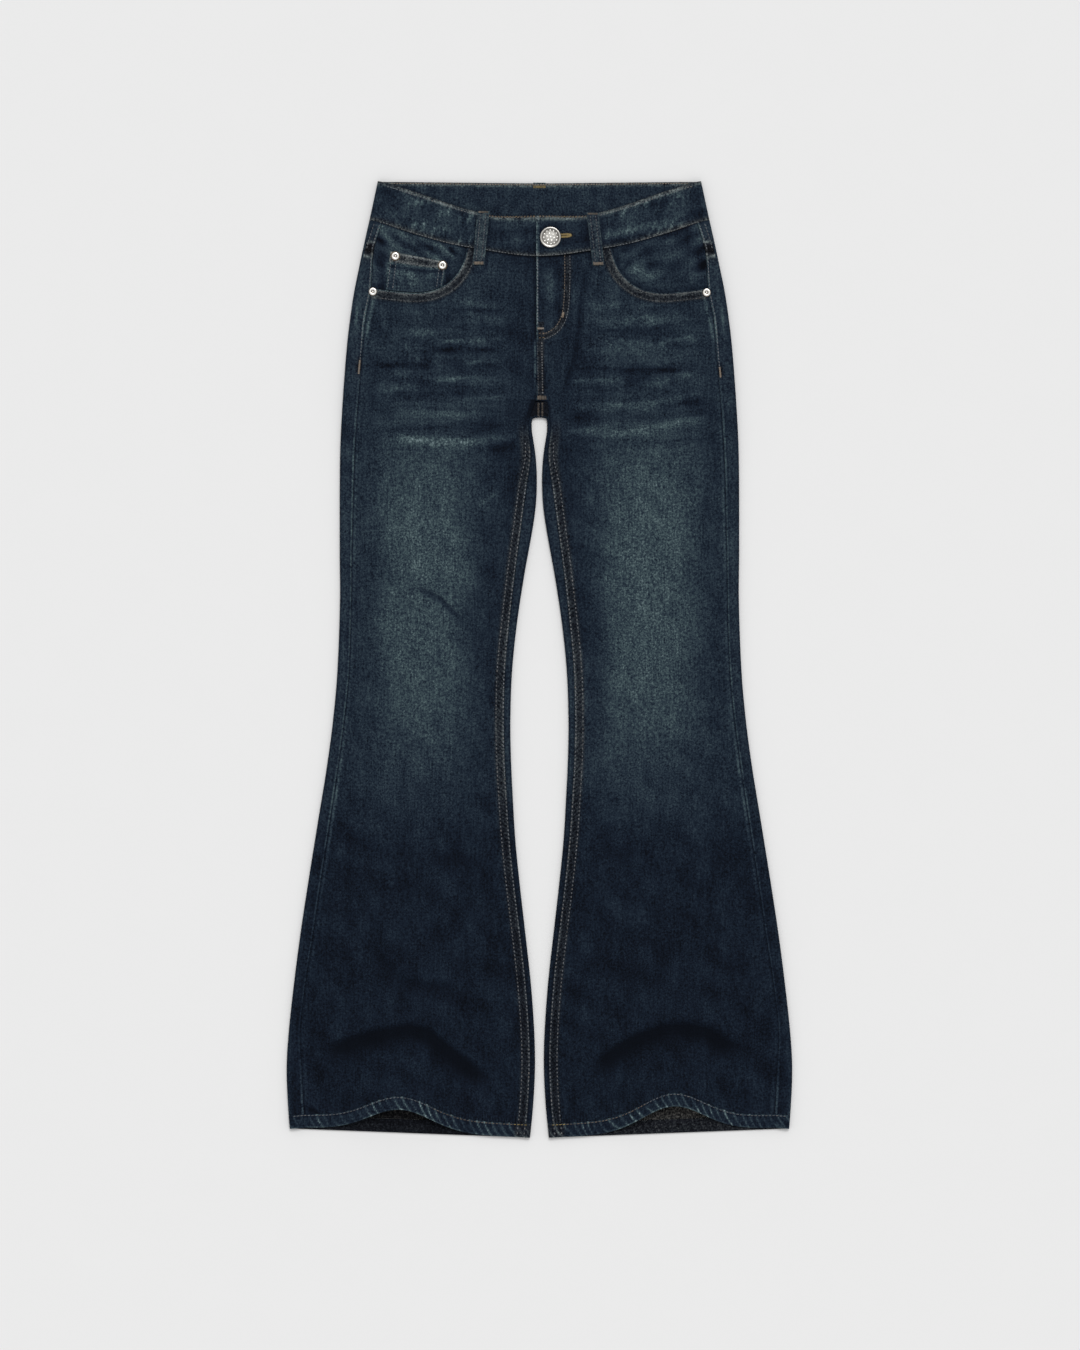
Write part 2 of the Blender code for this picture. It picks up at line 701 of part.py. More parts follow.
def band_back(x, share, depth):
    """A place on the back waistband, x from 0 in the middle to 1 at the fold."""
    fold = band_fold(ARC_ANGLES[-1], share, 0)
    drop = between(between(BACK_BAND_TOP, BACK_BAND_BOTTOM, share), fold[1], x)
    return x * fold[0], drop, underside(x * fold[0], drop) + depth * BAND_WALL


def waistband():
    """One band from the buttonhole end, round the back, to the end that lies underneath at the button."""
    stations = [("front", x, RIGHT) for x in BAND_RIGHT_X]
    stations += [("fold", angle, RIGHT) for angle in (None, *ARC_ANGLES)]
    stations += [("back", x, RIGHT) for x in BAND_BACK_SHARES]
    stations += [("back", x, LEFT) for x in BAND_BACK_SHARES[-2::-1]]
    stations += [("fold", angle, LEFT) for angle in (*ARC_ANGLES[::-1], None)]
    stations += [("front", x, LEFT) for x in BAND_LEFT_X]
    rows = 3

    def place(column, row, depth):
        kind, at, side = stations[column]
        share = row / rows
        if kind == "front":
            return world(band_front(at, share, side, depth), side)
        if kind == "fold":
            return world(band_fold(at, share, depth), side)
        return world(band_back(at, share, depth), side)

    return cloth("waistband", len(stations) - 1, rows, place, DENIM_DARK)


def front_loop(loop):
    """A belt loop over the front waistband, tacked above and below and standing off it between."""
    columns, rows = 2, 8
    side = RIGHT if loop.top[0] > 0 else LEFT

    def place(column, row, depth):
        share = row / rows
        x, drop = point_between(loop.top, loop.bottom, share)
        x += (column / columns - 0.5) * LOOP_WIDTH
        band = band_height(x, side == RIGHT)
        panel = max(top_height(x, drop, side), HIP_HEIGHT)
        edge = smooth(BAND_BOTTOM_EDGE, abs(x))
        base = between(band, panel, smooth_step(edge + 1, edge + 10, drop)) + LOOP_CLEAR
        arch = LOOP_ARCH * smooth_step(0, LOOP_TACK, share) * smooth_step(0, LOOP_TACK, 1 - share)
        return world((x, drop, base + arch + LOOP_WALL * (1 - depth)))

    return cloth(loop.name, columns, rows, place, DENIM_MID)


def back_loop(name, x):
    """A belt loop pressed flat under the back waistband."""
    shape = bmesh.new()
    bmesh.ops.create_cube(shape, size=1)
    for vertex in shape.verts:
        drop = between(*BACK_LOOP_DROPS, 0.5 - vertex.co.y)
        vertex.co = world((x + vertex.co.x * LOOP_WIDTH, drop, (vertex.co.z + 0.5) * PATCH_WALL))
    return finished(name, shape, DENIM_MID)


# Hems


def hem(side, name):
    """The turned-up hem, a ring round the leg's mouth."""
    stations = [("front", share) for share in FRONT_SHARES[::-1]]
    stations += [("inner", angle) for angle in ARC_ANGLES]
    stations += [("bottom", share) for share in (0.75, 0.5, 0.25)]
    stations += [("side", angle) for angle in ARC_ANGLES[::-1]]
    rows = 2
    radius = FOLD_RADIUS + GAP

    def place(column, row, depth):
        kind, at = stations[column % len(stations)]
        drop = LENGTH - HEM_DEPTH * row / rows
        inner = fold_foot(INNER_EDGE, drop, 1)
        outer = fold_foot(SIDE_EDGE, drop - hem_slant(drop), -1)
        if kind == "front":
            inner_seam = step_in(*inner, smooth(INNER_EDGE, drop, 2))
            outer_seam = step_in(*outer, smooth(SIDE_EDGE, drop, 2))
            x, drop = point_between(inner_seam, outer_seam, at)
            height = top_height(side * x, drop, side) + HEM_PROUD
            drop -= hem_rise(side * x, drop, side)
            return world((x, drop, height - depth * HEM_WALL), side)
        if kind == "bottom":
            start, end = step_in(*outer, radius), step_in(*inner, radius)
            return world((*point_between(start, end, at), depth * HEM_WALL), side)
        foot, inward = inner if kind == "inner" else outer
        height = fold_height(foot, inward, side, radius) + HEM_PROUD
        return world(round_fold(foot, inward, at, depth, height, HEM_WALL, radius), side)

    return cloth(name, len(stations), rows, place, DENIM_MID, ring=True)


# Metalwork


def turned(name, profile, place, steps):
    """A round piece: its profile spun about its axis."""
    shape = bmesh.new()
    points = [shape.verts.new((radius * MM, 0, height * MM)) for radius, height in profile]
    for a, b in zip(points, points[1:]):
        shape.edges.new((a, b))
    bmesh.ops.spin(
        shape,
        geom=shape.verts[:] + shape.edges[:],
        cent=(0, 0, 0),
        axis=(0, 0, 1),
        angle=math.tau,
        steps=steps,
        use_merge=True,
    )
    bmesh.ops.remove_doubles(shape, verts=shape.verts, dist=0.01 * MM)
    bmesh.ops.recalc_face_normals(shape, faces=shape.faces[:])
    part = finished(name, shape, STEEL, metallic=1.0, roughness=0.32)
    part.location = world(place)
    return part


def rivet(name, x, drop, height):
    return turned(name, RIVET_PROFILE, (x, drop, height + GAP), 18)


def button():
    x, drop = BUTTON_CENTRE
    return turned("button", BUTTON_PROFILE, (x, drop, band_height(x, True) + GAP), 28)


def build():
    for side, word in ((LEFT, "left"), (RIGHT, "right")):
        front_panel(side, f"front_{word}")
        back_panel(side, f"back_{word}")
        yoke(side, f"yoke_{word}")
        facing(side, f"pocket_facing_{word}")
        back_pocket(side, f"back_pocket_{word}")
        hem(side, f"hem_{word}")
    coin_pocket()
    waistband()
    for loop in FRONT_LOOPS:
        front_loop(loop)
    for name, x in BACK_LOOP_X.items():
        back_loop(name, x)
    for name, (x, drop) in POCKET_RIVETS.items():
        side = LEFT if x < 0 else RIGHT
        rivet(name, x, drop, top_height(x, drop, side))
    for name, (x, drop) in COIN_RIVETS.items():
        rivet(name, x, drop, coin_height(-x, drop))
    button()


for leftover in list(bpy.data.objects):
    bpy.data.objects.remove(leftover)
garment = bpy.data.collections.new("flared_jeans")
bpy.context.scene.collection.children.link(garment)
build()
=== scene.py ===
"""Flared five-pocket denim jeans laid flat: the cloth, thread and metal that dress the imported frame.

World frame in metres: +X across, +Y towards the waist, +Z up from the surface that they lie on.
Sizes are in millimetres unless a name says otherwise. A place on the garment is (x, drop): x is measured from the
middle, outwards on the half that is being made, and drop is how far below the back waist edge it lies.
"""

import logging
import math
from dataclasses import dataclass, field
from enum import Enum
from typing import Any, Callable

import bmesh
import bpy
import numpy as np
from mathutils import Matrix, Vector

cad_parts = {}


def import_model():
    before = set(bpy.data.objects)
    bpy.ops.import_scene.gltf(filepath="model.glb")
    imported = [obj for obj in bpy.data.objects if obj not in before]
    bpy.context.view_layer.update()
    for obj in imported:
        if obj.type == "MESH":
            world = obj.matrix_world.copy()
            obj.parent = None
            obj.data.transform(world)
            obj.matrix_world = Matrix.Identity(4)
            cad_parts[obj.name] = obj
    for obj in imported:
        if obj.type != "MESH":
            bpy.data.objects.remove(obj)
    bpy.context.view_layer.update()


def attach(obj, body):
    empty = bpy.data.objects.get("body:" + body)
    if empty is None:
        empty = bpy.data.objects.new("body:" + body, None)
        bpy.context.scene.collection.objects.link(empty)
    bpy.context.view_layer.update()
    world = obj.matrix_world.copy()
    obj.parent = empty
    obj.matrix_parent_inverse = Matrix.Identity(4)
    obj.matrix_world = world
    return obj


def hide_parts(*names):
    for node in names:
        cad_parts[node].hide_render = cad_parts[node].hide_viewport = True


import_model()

log = logging.getLogger("jeans")

Array = np.ndarray
Facts = dict[str, Array]
Object = bpy.types.Object

MM = 0.001
LENGTH = 1080.0
GAP = 0.3
HALF_GAP = GAP / 2
DENIM = 1.2
UNDER_LIFT = 0.25
FAR = 99.0


class Half(Enum):
    """The two halves of the garment. The value is the sign of x."""

    LEFT = -1
    RIGHT = 1

    @property
    def word(self) -> str:
        """The half's name in the names of its pieces."""
        return self.name.lower()


class Layer(Enum):
    """Which way the outside of a layer faces. The value is the sign of z."""

    UPPER = 1
    LOWER = -1


class Thread(Enum):
    """Thread colours, as the tint that the thread's finish reads."""

    GREY = 0.0
    TAN = 0.33
    BROWN = 0.66
    STRAW = 1.0


# Small sums


def smooth_step(low: Any, high: Any, at: Any) -> Array:
    """An even S between two values.

    Args:
        low: Where it leaves 0.
        high: Where it reaches 1.
        at: Where it is read.

    Returns:
        0 below low, 1 above high.
    """
    t = np.clip((at - low) / (high - low), 0.0, 1.0)
    return t * t * (3 - 2 * t)


def bell(at: Any) -> Array:
    """1 in the middle, 0 at one and beyond."""
    return np.where(np.abs(at) < 1, 0.5 + 0.5 * np.cos(np.pi * np.asarray(at)), 0.0)


def peak(at: Any) -> Array:
    """A Gaussian, 1 in the middle."""
    return np.exp(-(np.asarray(at) ** 2))


def mix(start: Any, end: Any, share: Any) -> Array:
    """Numbers between two others.

    Args:
        start: The numbers at share 0.
        end: The numbers at share 1.
        share: How far along.

    Returns:
        What lies between.
    """
    return start + (end - start) * share


def between(start: Array, end: Array, share: Any) -> Array:
    """Places between two others.

    Args:
        start: The places at share 0, their coordinates last.
        end: The places at share 1.
        share: How far along, for each place.

    Returns:
        What lies between.
    """
    return start + (end - start) * np.asarray(share, float)[..., None]


def split(values: Any, parts: Any) -> Array:
    """A run of numbers with each interval cut into equal parts.

    Args:
        values: The numbers.
        parts: How many parts for each interval, or one number for all.

    Returns:
        The longer run.
    """
    values = np.asarray(values, float)
    parts = np.broadcast_to(parts, len(values) - 1)
    runs = [np.linspace(a, b, n, endpoint=False) for a, b, n in zip(values, values[1:], parts)]
    return np.concatenate([*runs, values[-1:]])


def places(x: Any, drop: Any) -> Array:
    """Places from their x and drop."""
    return np.stack(np.broadcast_arrays(np.asarray(x, float), np.asarray(drop, float)), axis=-1)


def unevenness(x: Array, drop: Array, wavelength: float, seed: int) -> Array:
    """A soft wandering between about -1 and 1.

    Args:
        x: Signed x of each place.
        drop: Drop of each place.
        wavelength: Its usual length, in millimetres.
        seed: Picks one wandering from many.

    Returns:
        The value at each place.
    """
    draw = np.random.default_rng(seed)
    total = np.zeros(np.shape(x))
    for _ in range(6):
        turn, phase = draw.uniform(0, math.tau, 2)
        waves = math.tau / (wavelength * draw.uniform(0.6, 1.6))
        total = total + np.sin(waves * (x * math.cos(turn) + drop * math.sin(turn)) + phase)
    return total / 2.6


@dataclass(frozen=True)
class Curve:
    """A smooth curve through rows of numbers, whose first column is the station."""

    rows: tuple[tuple[float, ...], ...]

    def read(self, at: Any, column: int = 1) -> Array:
        """The curve's value.

        Args:
            at: The stations to read.
            column: Which column of the rows to read.

        Returns:
            The value at each station, held level past both ends.
        """
        table = np.array(self.rows, float)
        stations, values = table[:, 0], table[:, column]
        last = len(stations) - 1
        before = np.maximum(np.arange(last + 1) - 1, 0)
        after = np.minimum(np.arange(last + 1) + 1, last)
        slopes = (values[after] - values[before]) / (stations[after] - stations[before])
        row = np.clip(np.searchsorted(stations, at, side="right") - 1, 0, last - 1)
        span = stations[row + 1] - stations[row]
        t = np.clip((at - stations[row]) / span, 0.0, 1.0)
        bend = slopes[row] * span * (t - 2 * t**2 + t**3) + slopes[row + 1] * span * (t**3 - t**2)
        return values[row] * (1 - 3 * t**2 + 2 * t**3) + values[row + 1] * (3 * t**2 - 2 * t**3) + bend


@dataclass(frozen=True)
class Line:
    """A run of straight stretches through places."""

    points: tuple[tuple[float, float], ...]

    def measure(self, x: Array, drop: Array) -> tuple[Array, Array]:
        """How places lie to the line.

        Args:
            x: Their x.
            drop: Their drop.

        Returns:
            The distance, positive on the left of the way along, and the share of the way along.
        """
        points = np.array(self.points, float)
        lengths = np.hypot(*np.diff(points, axis=0).T)
        total, gone = lengths.sum(), 0.0
        best, share = np.full(np.shape(x), 1e9), np.zeros(np.shape(x))
        for start, end, length in zip(points, points[1:], lengths):
            run_x, run_drop = (end - start) / length
            to_x, to_drop = x - start[0], drop - start[1]
            along = np.clip(to_x * run_x + to_drop * run_drop, 0, length)
            distance = np.hypot(to_x - along * run_x, to_drop - along * run_drop)
            signed = np.copysign(distance, run_x * to_drop - run_drop * to_x)
            nearer = distance < np.abs(best)
            best, share = np.where(nearer, signed, best), np.where(nearer, (gone + along) / total, share)
            gone += length
        return best, share


# The outline: the drop, the fold's x, and how far the back laps over it onto the top

SIDE_EDGE = Curve(
    (
        (24.0, 187.5, 14.6),
        (42.3, 191.4, 14.6),
        (60.0, 195.4, 13.0),
        (78.0, 199.4, 12.2),
        (100.0, 204.0, 15.5),
        (125.0, 209.1, 18.6),
        (155.0, 213.6, 17.1),
        (190.0, 217.6, 18.2),
        (256.0, 222.5, 17.4),
        (311.0, 225.0, 16.4),
        (419.0, 225.4, 13.9),
        (473.0, 225.1, 12.9),
        (554.0, 228.1, 13.2),
        (609.0, 233.0, 12.7),
        (663.0, 240.2, 12.6),
        (717.0, 249.0, 13.3),
        (798.0, 262.0, 14.0),
        (852.0, 270.1, 14.3),
        (907.0, 277.2, 12.9),
        (961.0, 283.0, 12.9),
        (1000.0, 285.3, 17.0),
        (1042.0, 283.9, 17.7),
        (1080.0, 281.0, 17.2),
    )
)
INNER_EDGE = Curve(
    (
        (283.0, 8.5, 3.8),
        (311.0, 4.3, 5.6),
        (338.0, 2.9, 10.4),
        (365.0, 4.0, 13.0),
        (392.0, 7.6, 13.0),
        (446.0, 17.3, 10.4),
        (500.0, 25.4, 8.4),
        (554.0, 30.9, 7.6),
        (609.0, 32.8, 7.0),
        (650.0, 32.2, 6.9),
        (690.0, 30.4, 6.5),
        (744.0, 27.2, 6.0),
        (798.0, 21.8, 5.8),
        (852.0, 15.6, 5.5),
        (907.0, 9.6, 5.5),
        (961.0, 5.8, 5.5),
        (1000.0, 5.0, 5.5),
        (1042.0, 7.0, 5.5),
        (1080.0, 10.6, 5.5),
    )
)
# The fold round the top of the gap between the legs: x, drop, the way in, and the side fold's drop in that row
CROTCH_FOLD = (
    (8.8, 273.5, 0.98, -0.20, 275.0),
    (7.8, 268.8, 0.71, -0.71, 267.0),
    (4.4, 267.5, 0.0, -1.0, 259.0),
    (0.0, 267.4, 0.0, -1.0, 251.0),
)
CROTCH_SEAM = {
    Half.LEFT: ((12.5, 272.7), (10.6, 266.2), (4.7, 249.5), (0.0, 249.5)),
    Half.RIGHT: ((12.5, 272.7), (11.2, 266.2), (8.7, 249.5), (0.0, 249.5)),
}
CROTCH_DROP = 283.0
CROTCH_TOP_DROP = 248.0
SEAT_TOP_DROP = 175.0
HIP_SIDE_DROP = 122.0
BAND_TOP_EDGE = Curve(
    ((0, 40), (50, 40.2), (66, 36.4), (84, 31.6), (104, 25.4), (124, 18.2), (150, 9.6), (168.7, 3.6))
)
BAND_BOTTOM_EDGE = Curve(
    ((0, 85.4), (24, 83.8), (56, 79), (96, 72.2), (124, 65), (151, 56.8), (177.3, 47.6))
)
POCKET_EDGE = Curve(
    (
        (81.5, 76.0),
        (84.0, 87.0),
        (88.5, 98.0),
        (95.0, 107.4),
        (105.0, 116.6),
        (119.0, 123.4),
        (136.5, 126.4),
        (157.0, 125.4),
        (190.0, 121.4),
    )
)
POCKET_START = 81.5
POCKET_LINE = Line(
    tuple((x, float(POCKET_EDGE.read(x))) for x in (*np.arange(81.5, 96, 1.5), *np.arange(97, 191, 3)))
)
CENTRE_FRONT = -3.4
# How light the outseam's two worn lines are at each drop, on the back and on the front
SEAM_LIGHT = Curve(
    (
        (80, 0.45, 0.3), (132, 0.65, 0.4), (166, 1.0, 0.5), (200, 0.25, 0.07), (256, 0.5, 0.22), (324, 0.7, 0.22),
        (392, 0.5, 0.3), (460, 0.35, 0.1), (527, 0.27, 0.22), (584, 0.45, 0.22), (629, 0.35, 0.3), (685, 0.5, 0.5),
        (753, 0.45, 0.35), (821, 0.28, 0.17), (889, 0.25, 0.17), (945, 0.14, 0.15), (1002, 0.35, 0.2), (1047, 0.75, 0.4),
        (1080, 0.7, 0.4),
    )
)
# The middle of the fly's J-shaped double row, and half the distance between the rows
FLY_ROWS = Line(((31.4, 84), (31.4, 113), (30.0, 141), (26.8, 156), (20.0, 167.4), (10.0, 174.2), (3.6, 176.0)))
FLY_ROWS_APART = 2.9
LOOP_LINES = (Line(((-63.1, 34.5), (-68.9, 95.0))), Line(((59.8, 36.5), (66.6, 95.6))))


# The coin pocket's sides and how far the painted shadow beside them reaches, and a fold between it and the pocket
# opening
SIDE_TACKS = {Half.LEFT: (201.0, 217.0), Half.RIGHT: (209.0, 221.0)}
COIN_SIDES = ((Line(((176.0, 84.0), (178.5, 126.0))), 4.0), (Line(((104.0, 90.0), (103.5, 116.0))), 3.5))
FACING_FOLD = Line(((120.0, 71.5), (110.0, 74.5), (95.0, 88.0)))


def beside_loop(x: Array, drop: Array) -> Array:
    """Painted shadow beside the front belt loops: how close each place is to a loop's edge, from 0 to 1."""
    return sum(peak((np.abs(line.measure(x, drop)[0]) - 8.4) / 1.8) for line in LOOP_LINES)


HEM_DEPTH = 15.5


@dataclass(frozen=True)
class Crease:
    """A soft fold along a line, steep on one side of it, with the cloth heaped up a little before it, and painted
    shade in its trough.
    """

    name: str
    depth: float
    before: float
    after: float
    points: tuple[tuple[float, float], ...]
    heap: float = 0.0
    taper: float = 0.14
    # How dark the painted shade in the trough is.
    shade: float = 0.0

    def read(self, x: Array, drop: Array) -> tuple[Array, Array]:
        """The crease's effect.

        Args:
            x: Signed x of each place.
            drop: Drop of each place.

        Returns:
            The height that it adds, and how much painted shade it puts in the trough, from 0 to 1.
        """
        signed, share = Line(self.points).measure(x, drop)
        ends = smooth_step(0, self.taper, share) * smooth_step(0, self.taper, 1 - share)
        trough = np.where(signed < 0, peak(signed / self.before), peak(signed / self.after)) * ends
        heaped = peak((signed + 1.9 * self.before) / (1.3 * self.before)) * ends
        return self.heap * heaped - self.depth * trough, self.shade * trough


# Each crease adds relief, and its shade is painted shade in the trough.
CREASES = (
    Crease(
        "left hem arch",
        3.6,
        5.0,
        19.0,
        ((-250, 985), (-207, 970), (-177, 962), (-146, 956), (-125, 963), (-85, 995), (-51, 1021)),
        heap=2.0,
        shade=1.0,
    ),
    Crease(
        "right hem arch",
        3.6,
        5.0,
        19.0,
        ((55, 1004), (87, 982), (109, 969), (139, 957), (165, 955), (191, 960), (232, 986)),
        heap=2.0,
        shade=1.0,
    ),
    Crease(
        "left shin",
        2.6,
        4.0,
        12.0,
        ((-189, 866), (-170, 887), (-155, 902), (-129, 908), (-88, 911)),
        heap=1.1,
        shade=0.35,
    ),
    Crease(
        "left knee",
        1.6,
        1.9,
        5.0,
        ((-152, 455), (-138, 460), (-121, 466), (-110, 473), (-100, 483), (-90, 493), (-76, 505)),
        heap=0.9,
        taper=0.35,
        shade=0.55,
    ),
    Crease(
        "beside the fly",
        1.6,
        4.5,
        2.2,
        ((53, 90), (50, 115), (46.5, 132), (43.5, 165), (39.5, 200), (31.5, 222), (26, 242)),
        heap=0.4,
        shade=0.5,
    ),
    Crease("left below the knee", 1.2, 7.0, 10.0, ((-130, 765), (-100, 763), (-52, 769)), taper=0.3, shade=0.35),
    Crease("right below the knee", 1.2, 7.0, 10.0, ((62, 755), (118, 762)), taper=0.3, shade=0.25),
    Crease("right upper thigh drag", 0.8, 4.0, 6.0, ((34, 316), (67, 343)), taper=0.4, heap=0.5, shade=0.1),
    Crease("right thigh drag", 0.7, 4.0, 6.0, ((44, 380), (63, 397)), taper=0.4, heap=0.4, shade=0.1),
    Crease("left inner knee drag", 0.8, 5.0, 7.0, ((-67, 585), (-60, 510)), taper=0.4, heap=0.3, shade=0.1),
    Crease("left thigh drag", 0.7, 3.0, 5.0, ((-69, 364), (-46, 350)), taper=0.4, heap=0.7),
    Crease("left hem pucker", 1.6, 2.0, 6.0, ((-268, 1045), (-256, 1048), (-247, 1056)), heap=1.0, shade=0.9),
    Crease("right arch spur", 1.2, 6.0, 8.0, ((150, 1016), (148, 963)), taper=0.3, heap=0.8, shade=0.15),
)


@dataclass(frozen=True)
class Lay:
    """How the garment lies: the height of its upper layer, its folds and its drawn-up hems."""

    leg_height: float = 4.8
    hip_height: float = 6.4
    least_height: float = 3.6
    hip_end: tuple[float, float] = (240.0, 330.0)
    fold_swell: float = 0.8
    swell_reach: float = 16.0
    fold_radius: float = 2.8
    seat_lift: float = 1.3
    softness: float = 0.4
    ripple: float = 0.3
    billows: tuple[tuple[float, ...], ...] = (
        (-150, 900, 95, 75, 1.6),
        (150, 900, 95, 75, 1.6),
        (-120, 430, 80, 90, 1.0),
        (130, 520, 80, 120, 1.0),
        (-135, 680, 80, 90, 1.2),
        (135, 690, 80, 90, 1.2),
        (-110, 190, 80, 60, 0.6),
        (120, 200, 80, 60, 0.6),
    )
    # Each hem's lifted stretch: its middle, half its width and how high it stands
    hem_humps: tuple[tuple[float, ...], ...] = ((-161.0, 80.0, 15.0), (145.0, 80.0, 16.5))
    # How far it is drawn up: its middle, its width and how far
    hem_rises: tuple[tuple[float, ...], ...] = ((-157.4, 49.5, 26.0), (150.7, 49.0, 30.1))
    hump_start: float = 966.0
    hump_full: float = 1066.0
    rise_start: float = 946.0

    def hump(self, x: Array) -> Array:
        """How high the lifted stretch of the hem stands at each signed x."""
        return sum(height * bell((x - middle) / width) for middle, width, height in self.hem_humps)

    def hem_slant(self, drop: Array) -> Array:
        """How much higher the hem is at the side than at the inseam."""
        return 10.0 * smooth_step(900.0, LENGTH, drop)

    def hem_rise(self, x: Array, drop: Array) -> Array:
        """How far the lifted front hem is drawn up towards the waist."""
        rise = sum(rise * peak((x - middle) / width) * (x * middle > 0) for middle, width, rise in self.hem_rises)
        return rise * smooth_step(self.rise_start, self.hump_full, drop)

    def top_height(self, x: Array, drop: Array) -> Array:
        """Height of the upper layer's outer face.

        Args:
            x: Signed x of each place.
            drop: Drop of each place, before the hem is drawn up.

        Returns:
            The height of each place.
        """
        height = mix(self.hip_height, self.leg_height, smooth_step(*self.hip_end, drop))
        to_side = SIDE_EDGE.read(drop) - np.abs(x)
        to_inner = np.where(drop > CROTCH_DROP, np.abs(x) - INNER_EDGE.read(drop), self.swell_reach)
        to_fold = np.minimum(to_side, to_inner)
        height = height + self.fold_swell * bell(to_fold / self.swell_reach)
        for centre_x, centre_drop, half_width, half_length, raised in self.billows:
            height += raised * bell((x - centre_x) / half_width) * bell((drop - centre_drop) / half_length)
        inside = smooth_step(4, 30, to_fold) * smooth_step(85, 130, drop)
        height += self.ripple * unevenness(x, drop * 0.6, 62, 4) * inside
        for crease in CREASES:
            height += crease.read(x, drop)[0]
        spare = (height - self.least_height) / self.softness
        height = self.least_height + self.softness * np.logaddexp(0, spare)
        return height + self.hump(x) * smooth_step(self.hump_start, self.hump_full, drop)

    def crease_shade(self, x: Array, drop: Array) -> Array:
        """How much painted shade the creases put on each place, from 0 to 1."""
        return np.clip(sum(crease.read(x, drop)[1] for crease in CREASES), 0, 1)

    def underside(self, x: Array, drop: Array) -> Array:
        """Height of the lower layer's outer face: on the surface, but for the seat on its pockets and loops."""
        side = np.where(drop < 44.2, mix(182.4, 191.8, drop / 44.2), SIDE_EDGE.read(drop))
        end = mix(222.0, 256.0, smooth_step(5, 45, x))
        seat = smooth_step(5.0, 25.0, side - x) * (1 - smooth_step(end, end + 32.0, drop))
        return UNDER_LIFT + self.seat_lift * seat

    def fold_foot(self, edge: Curve, drop: Array, inward: int) -> tuple[Array, Array]:
        """The places on a fold.

        Args:
            edge: The fold's curve.
            drop: The drop of each.
            inward: The sign of x on the way in from it.

        Returns:
            The places, and the way in from each.
        """
        lean = (edge.read(drop + 1) - edge.read(drop - 1)) / 2
        size = np.hypot(1, lean)
        return places(edge.read(drop), drop), places(inward / size, -inward * lean / size)

    def side_seam(self, drop: Array, past: float = HALF_GAP) -> Array:
        """Places beside the side seam, at fold drops."""
        foot, inward = self.fold_foot(SIDE_EDGE, drop, -1)
        return foot + inward * (SIDE_EDGE.read(drop, 2) + past)[..., None]

    def side_seam_x(self, drop: Array) -> Array:
        """x of the side seam where it crosses a drop."""
        return self.side_seam(2 * drop - self.side_seam(drop)[..., 1])[..., 0]

    def inner_seam(self, drop: Array, past: float = HALF_GAP) -> Array:
        """Places beside the inseam's join, at fold drops."""
        foot, inward = self.fold_foot(INNER_EDGE, drop, 1)
        return foot + inward * (INNER_EDGE.read(drop, 2) + past)[..., None]

    def round_fold(
        self, foot: Array, inward: Array, angle: Array, inset: Array, height: Array, radius: float
    ) -> Array:
        """Places on a rounded fold.

        Args:
            foot: The fold's own places.
            inward: The way in from each.
            angle: In degrees, from 90 on top to -90 underneath.
            inset: How deep in the cloth.
            height: The fold's height from the lower face to the upper.
            radius: How far in the rounding reaches.

        Returns:
            The places, as (x, drop, z).
        """
        turn = np.radians(angle)
        reach = radius - (radius - inset) * np.cos(turn)
        flat = foot + inward * reach[..., None]
        middle, half = (height + UNDER_LIFT) / 2, (height - UNDER_LIFT) / 2
        return np.concatenate([flat, (middle + (half - inset) * np.sin(turn))[..., None]], axis=-1)


LAY = Lay()


@dataclass(frozen=True)
class Streak:
    """A line where the cloth is paler or darker than round it, soft above and below."""

    gain: float
    above: float
    below: float
    points: tuple[tuple[float, float], ...]

    def read(self, x: Array, drop: Array) -> Array:
        """How much brighter it makes each place.

        Args:
            x: Signed x of each place.
            drop: Its drop.

        Returns:
            The gain in brightness.
        """
        low, high = np.min(self.points, axis=0) - 24, np.max(self.points, axis=0) + 24
        near = (x > low[0]) & (x < high[0]) & (drop > low[1]) & (drop < high[1])
        signed, share = Line(self.points).measure(x[near], drop[near])
        ends = smooth_step(-0.02, 0.2, share) * smooth_step(-0.02, 0.2, 1 - share)
        result = np.zeros(np.shape(x))
        result[near] = self.gain * ends * peak(signed / np.where(signed < 0, self.above, self.below))
        return result


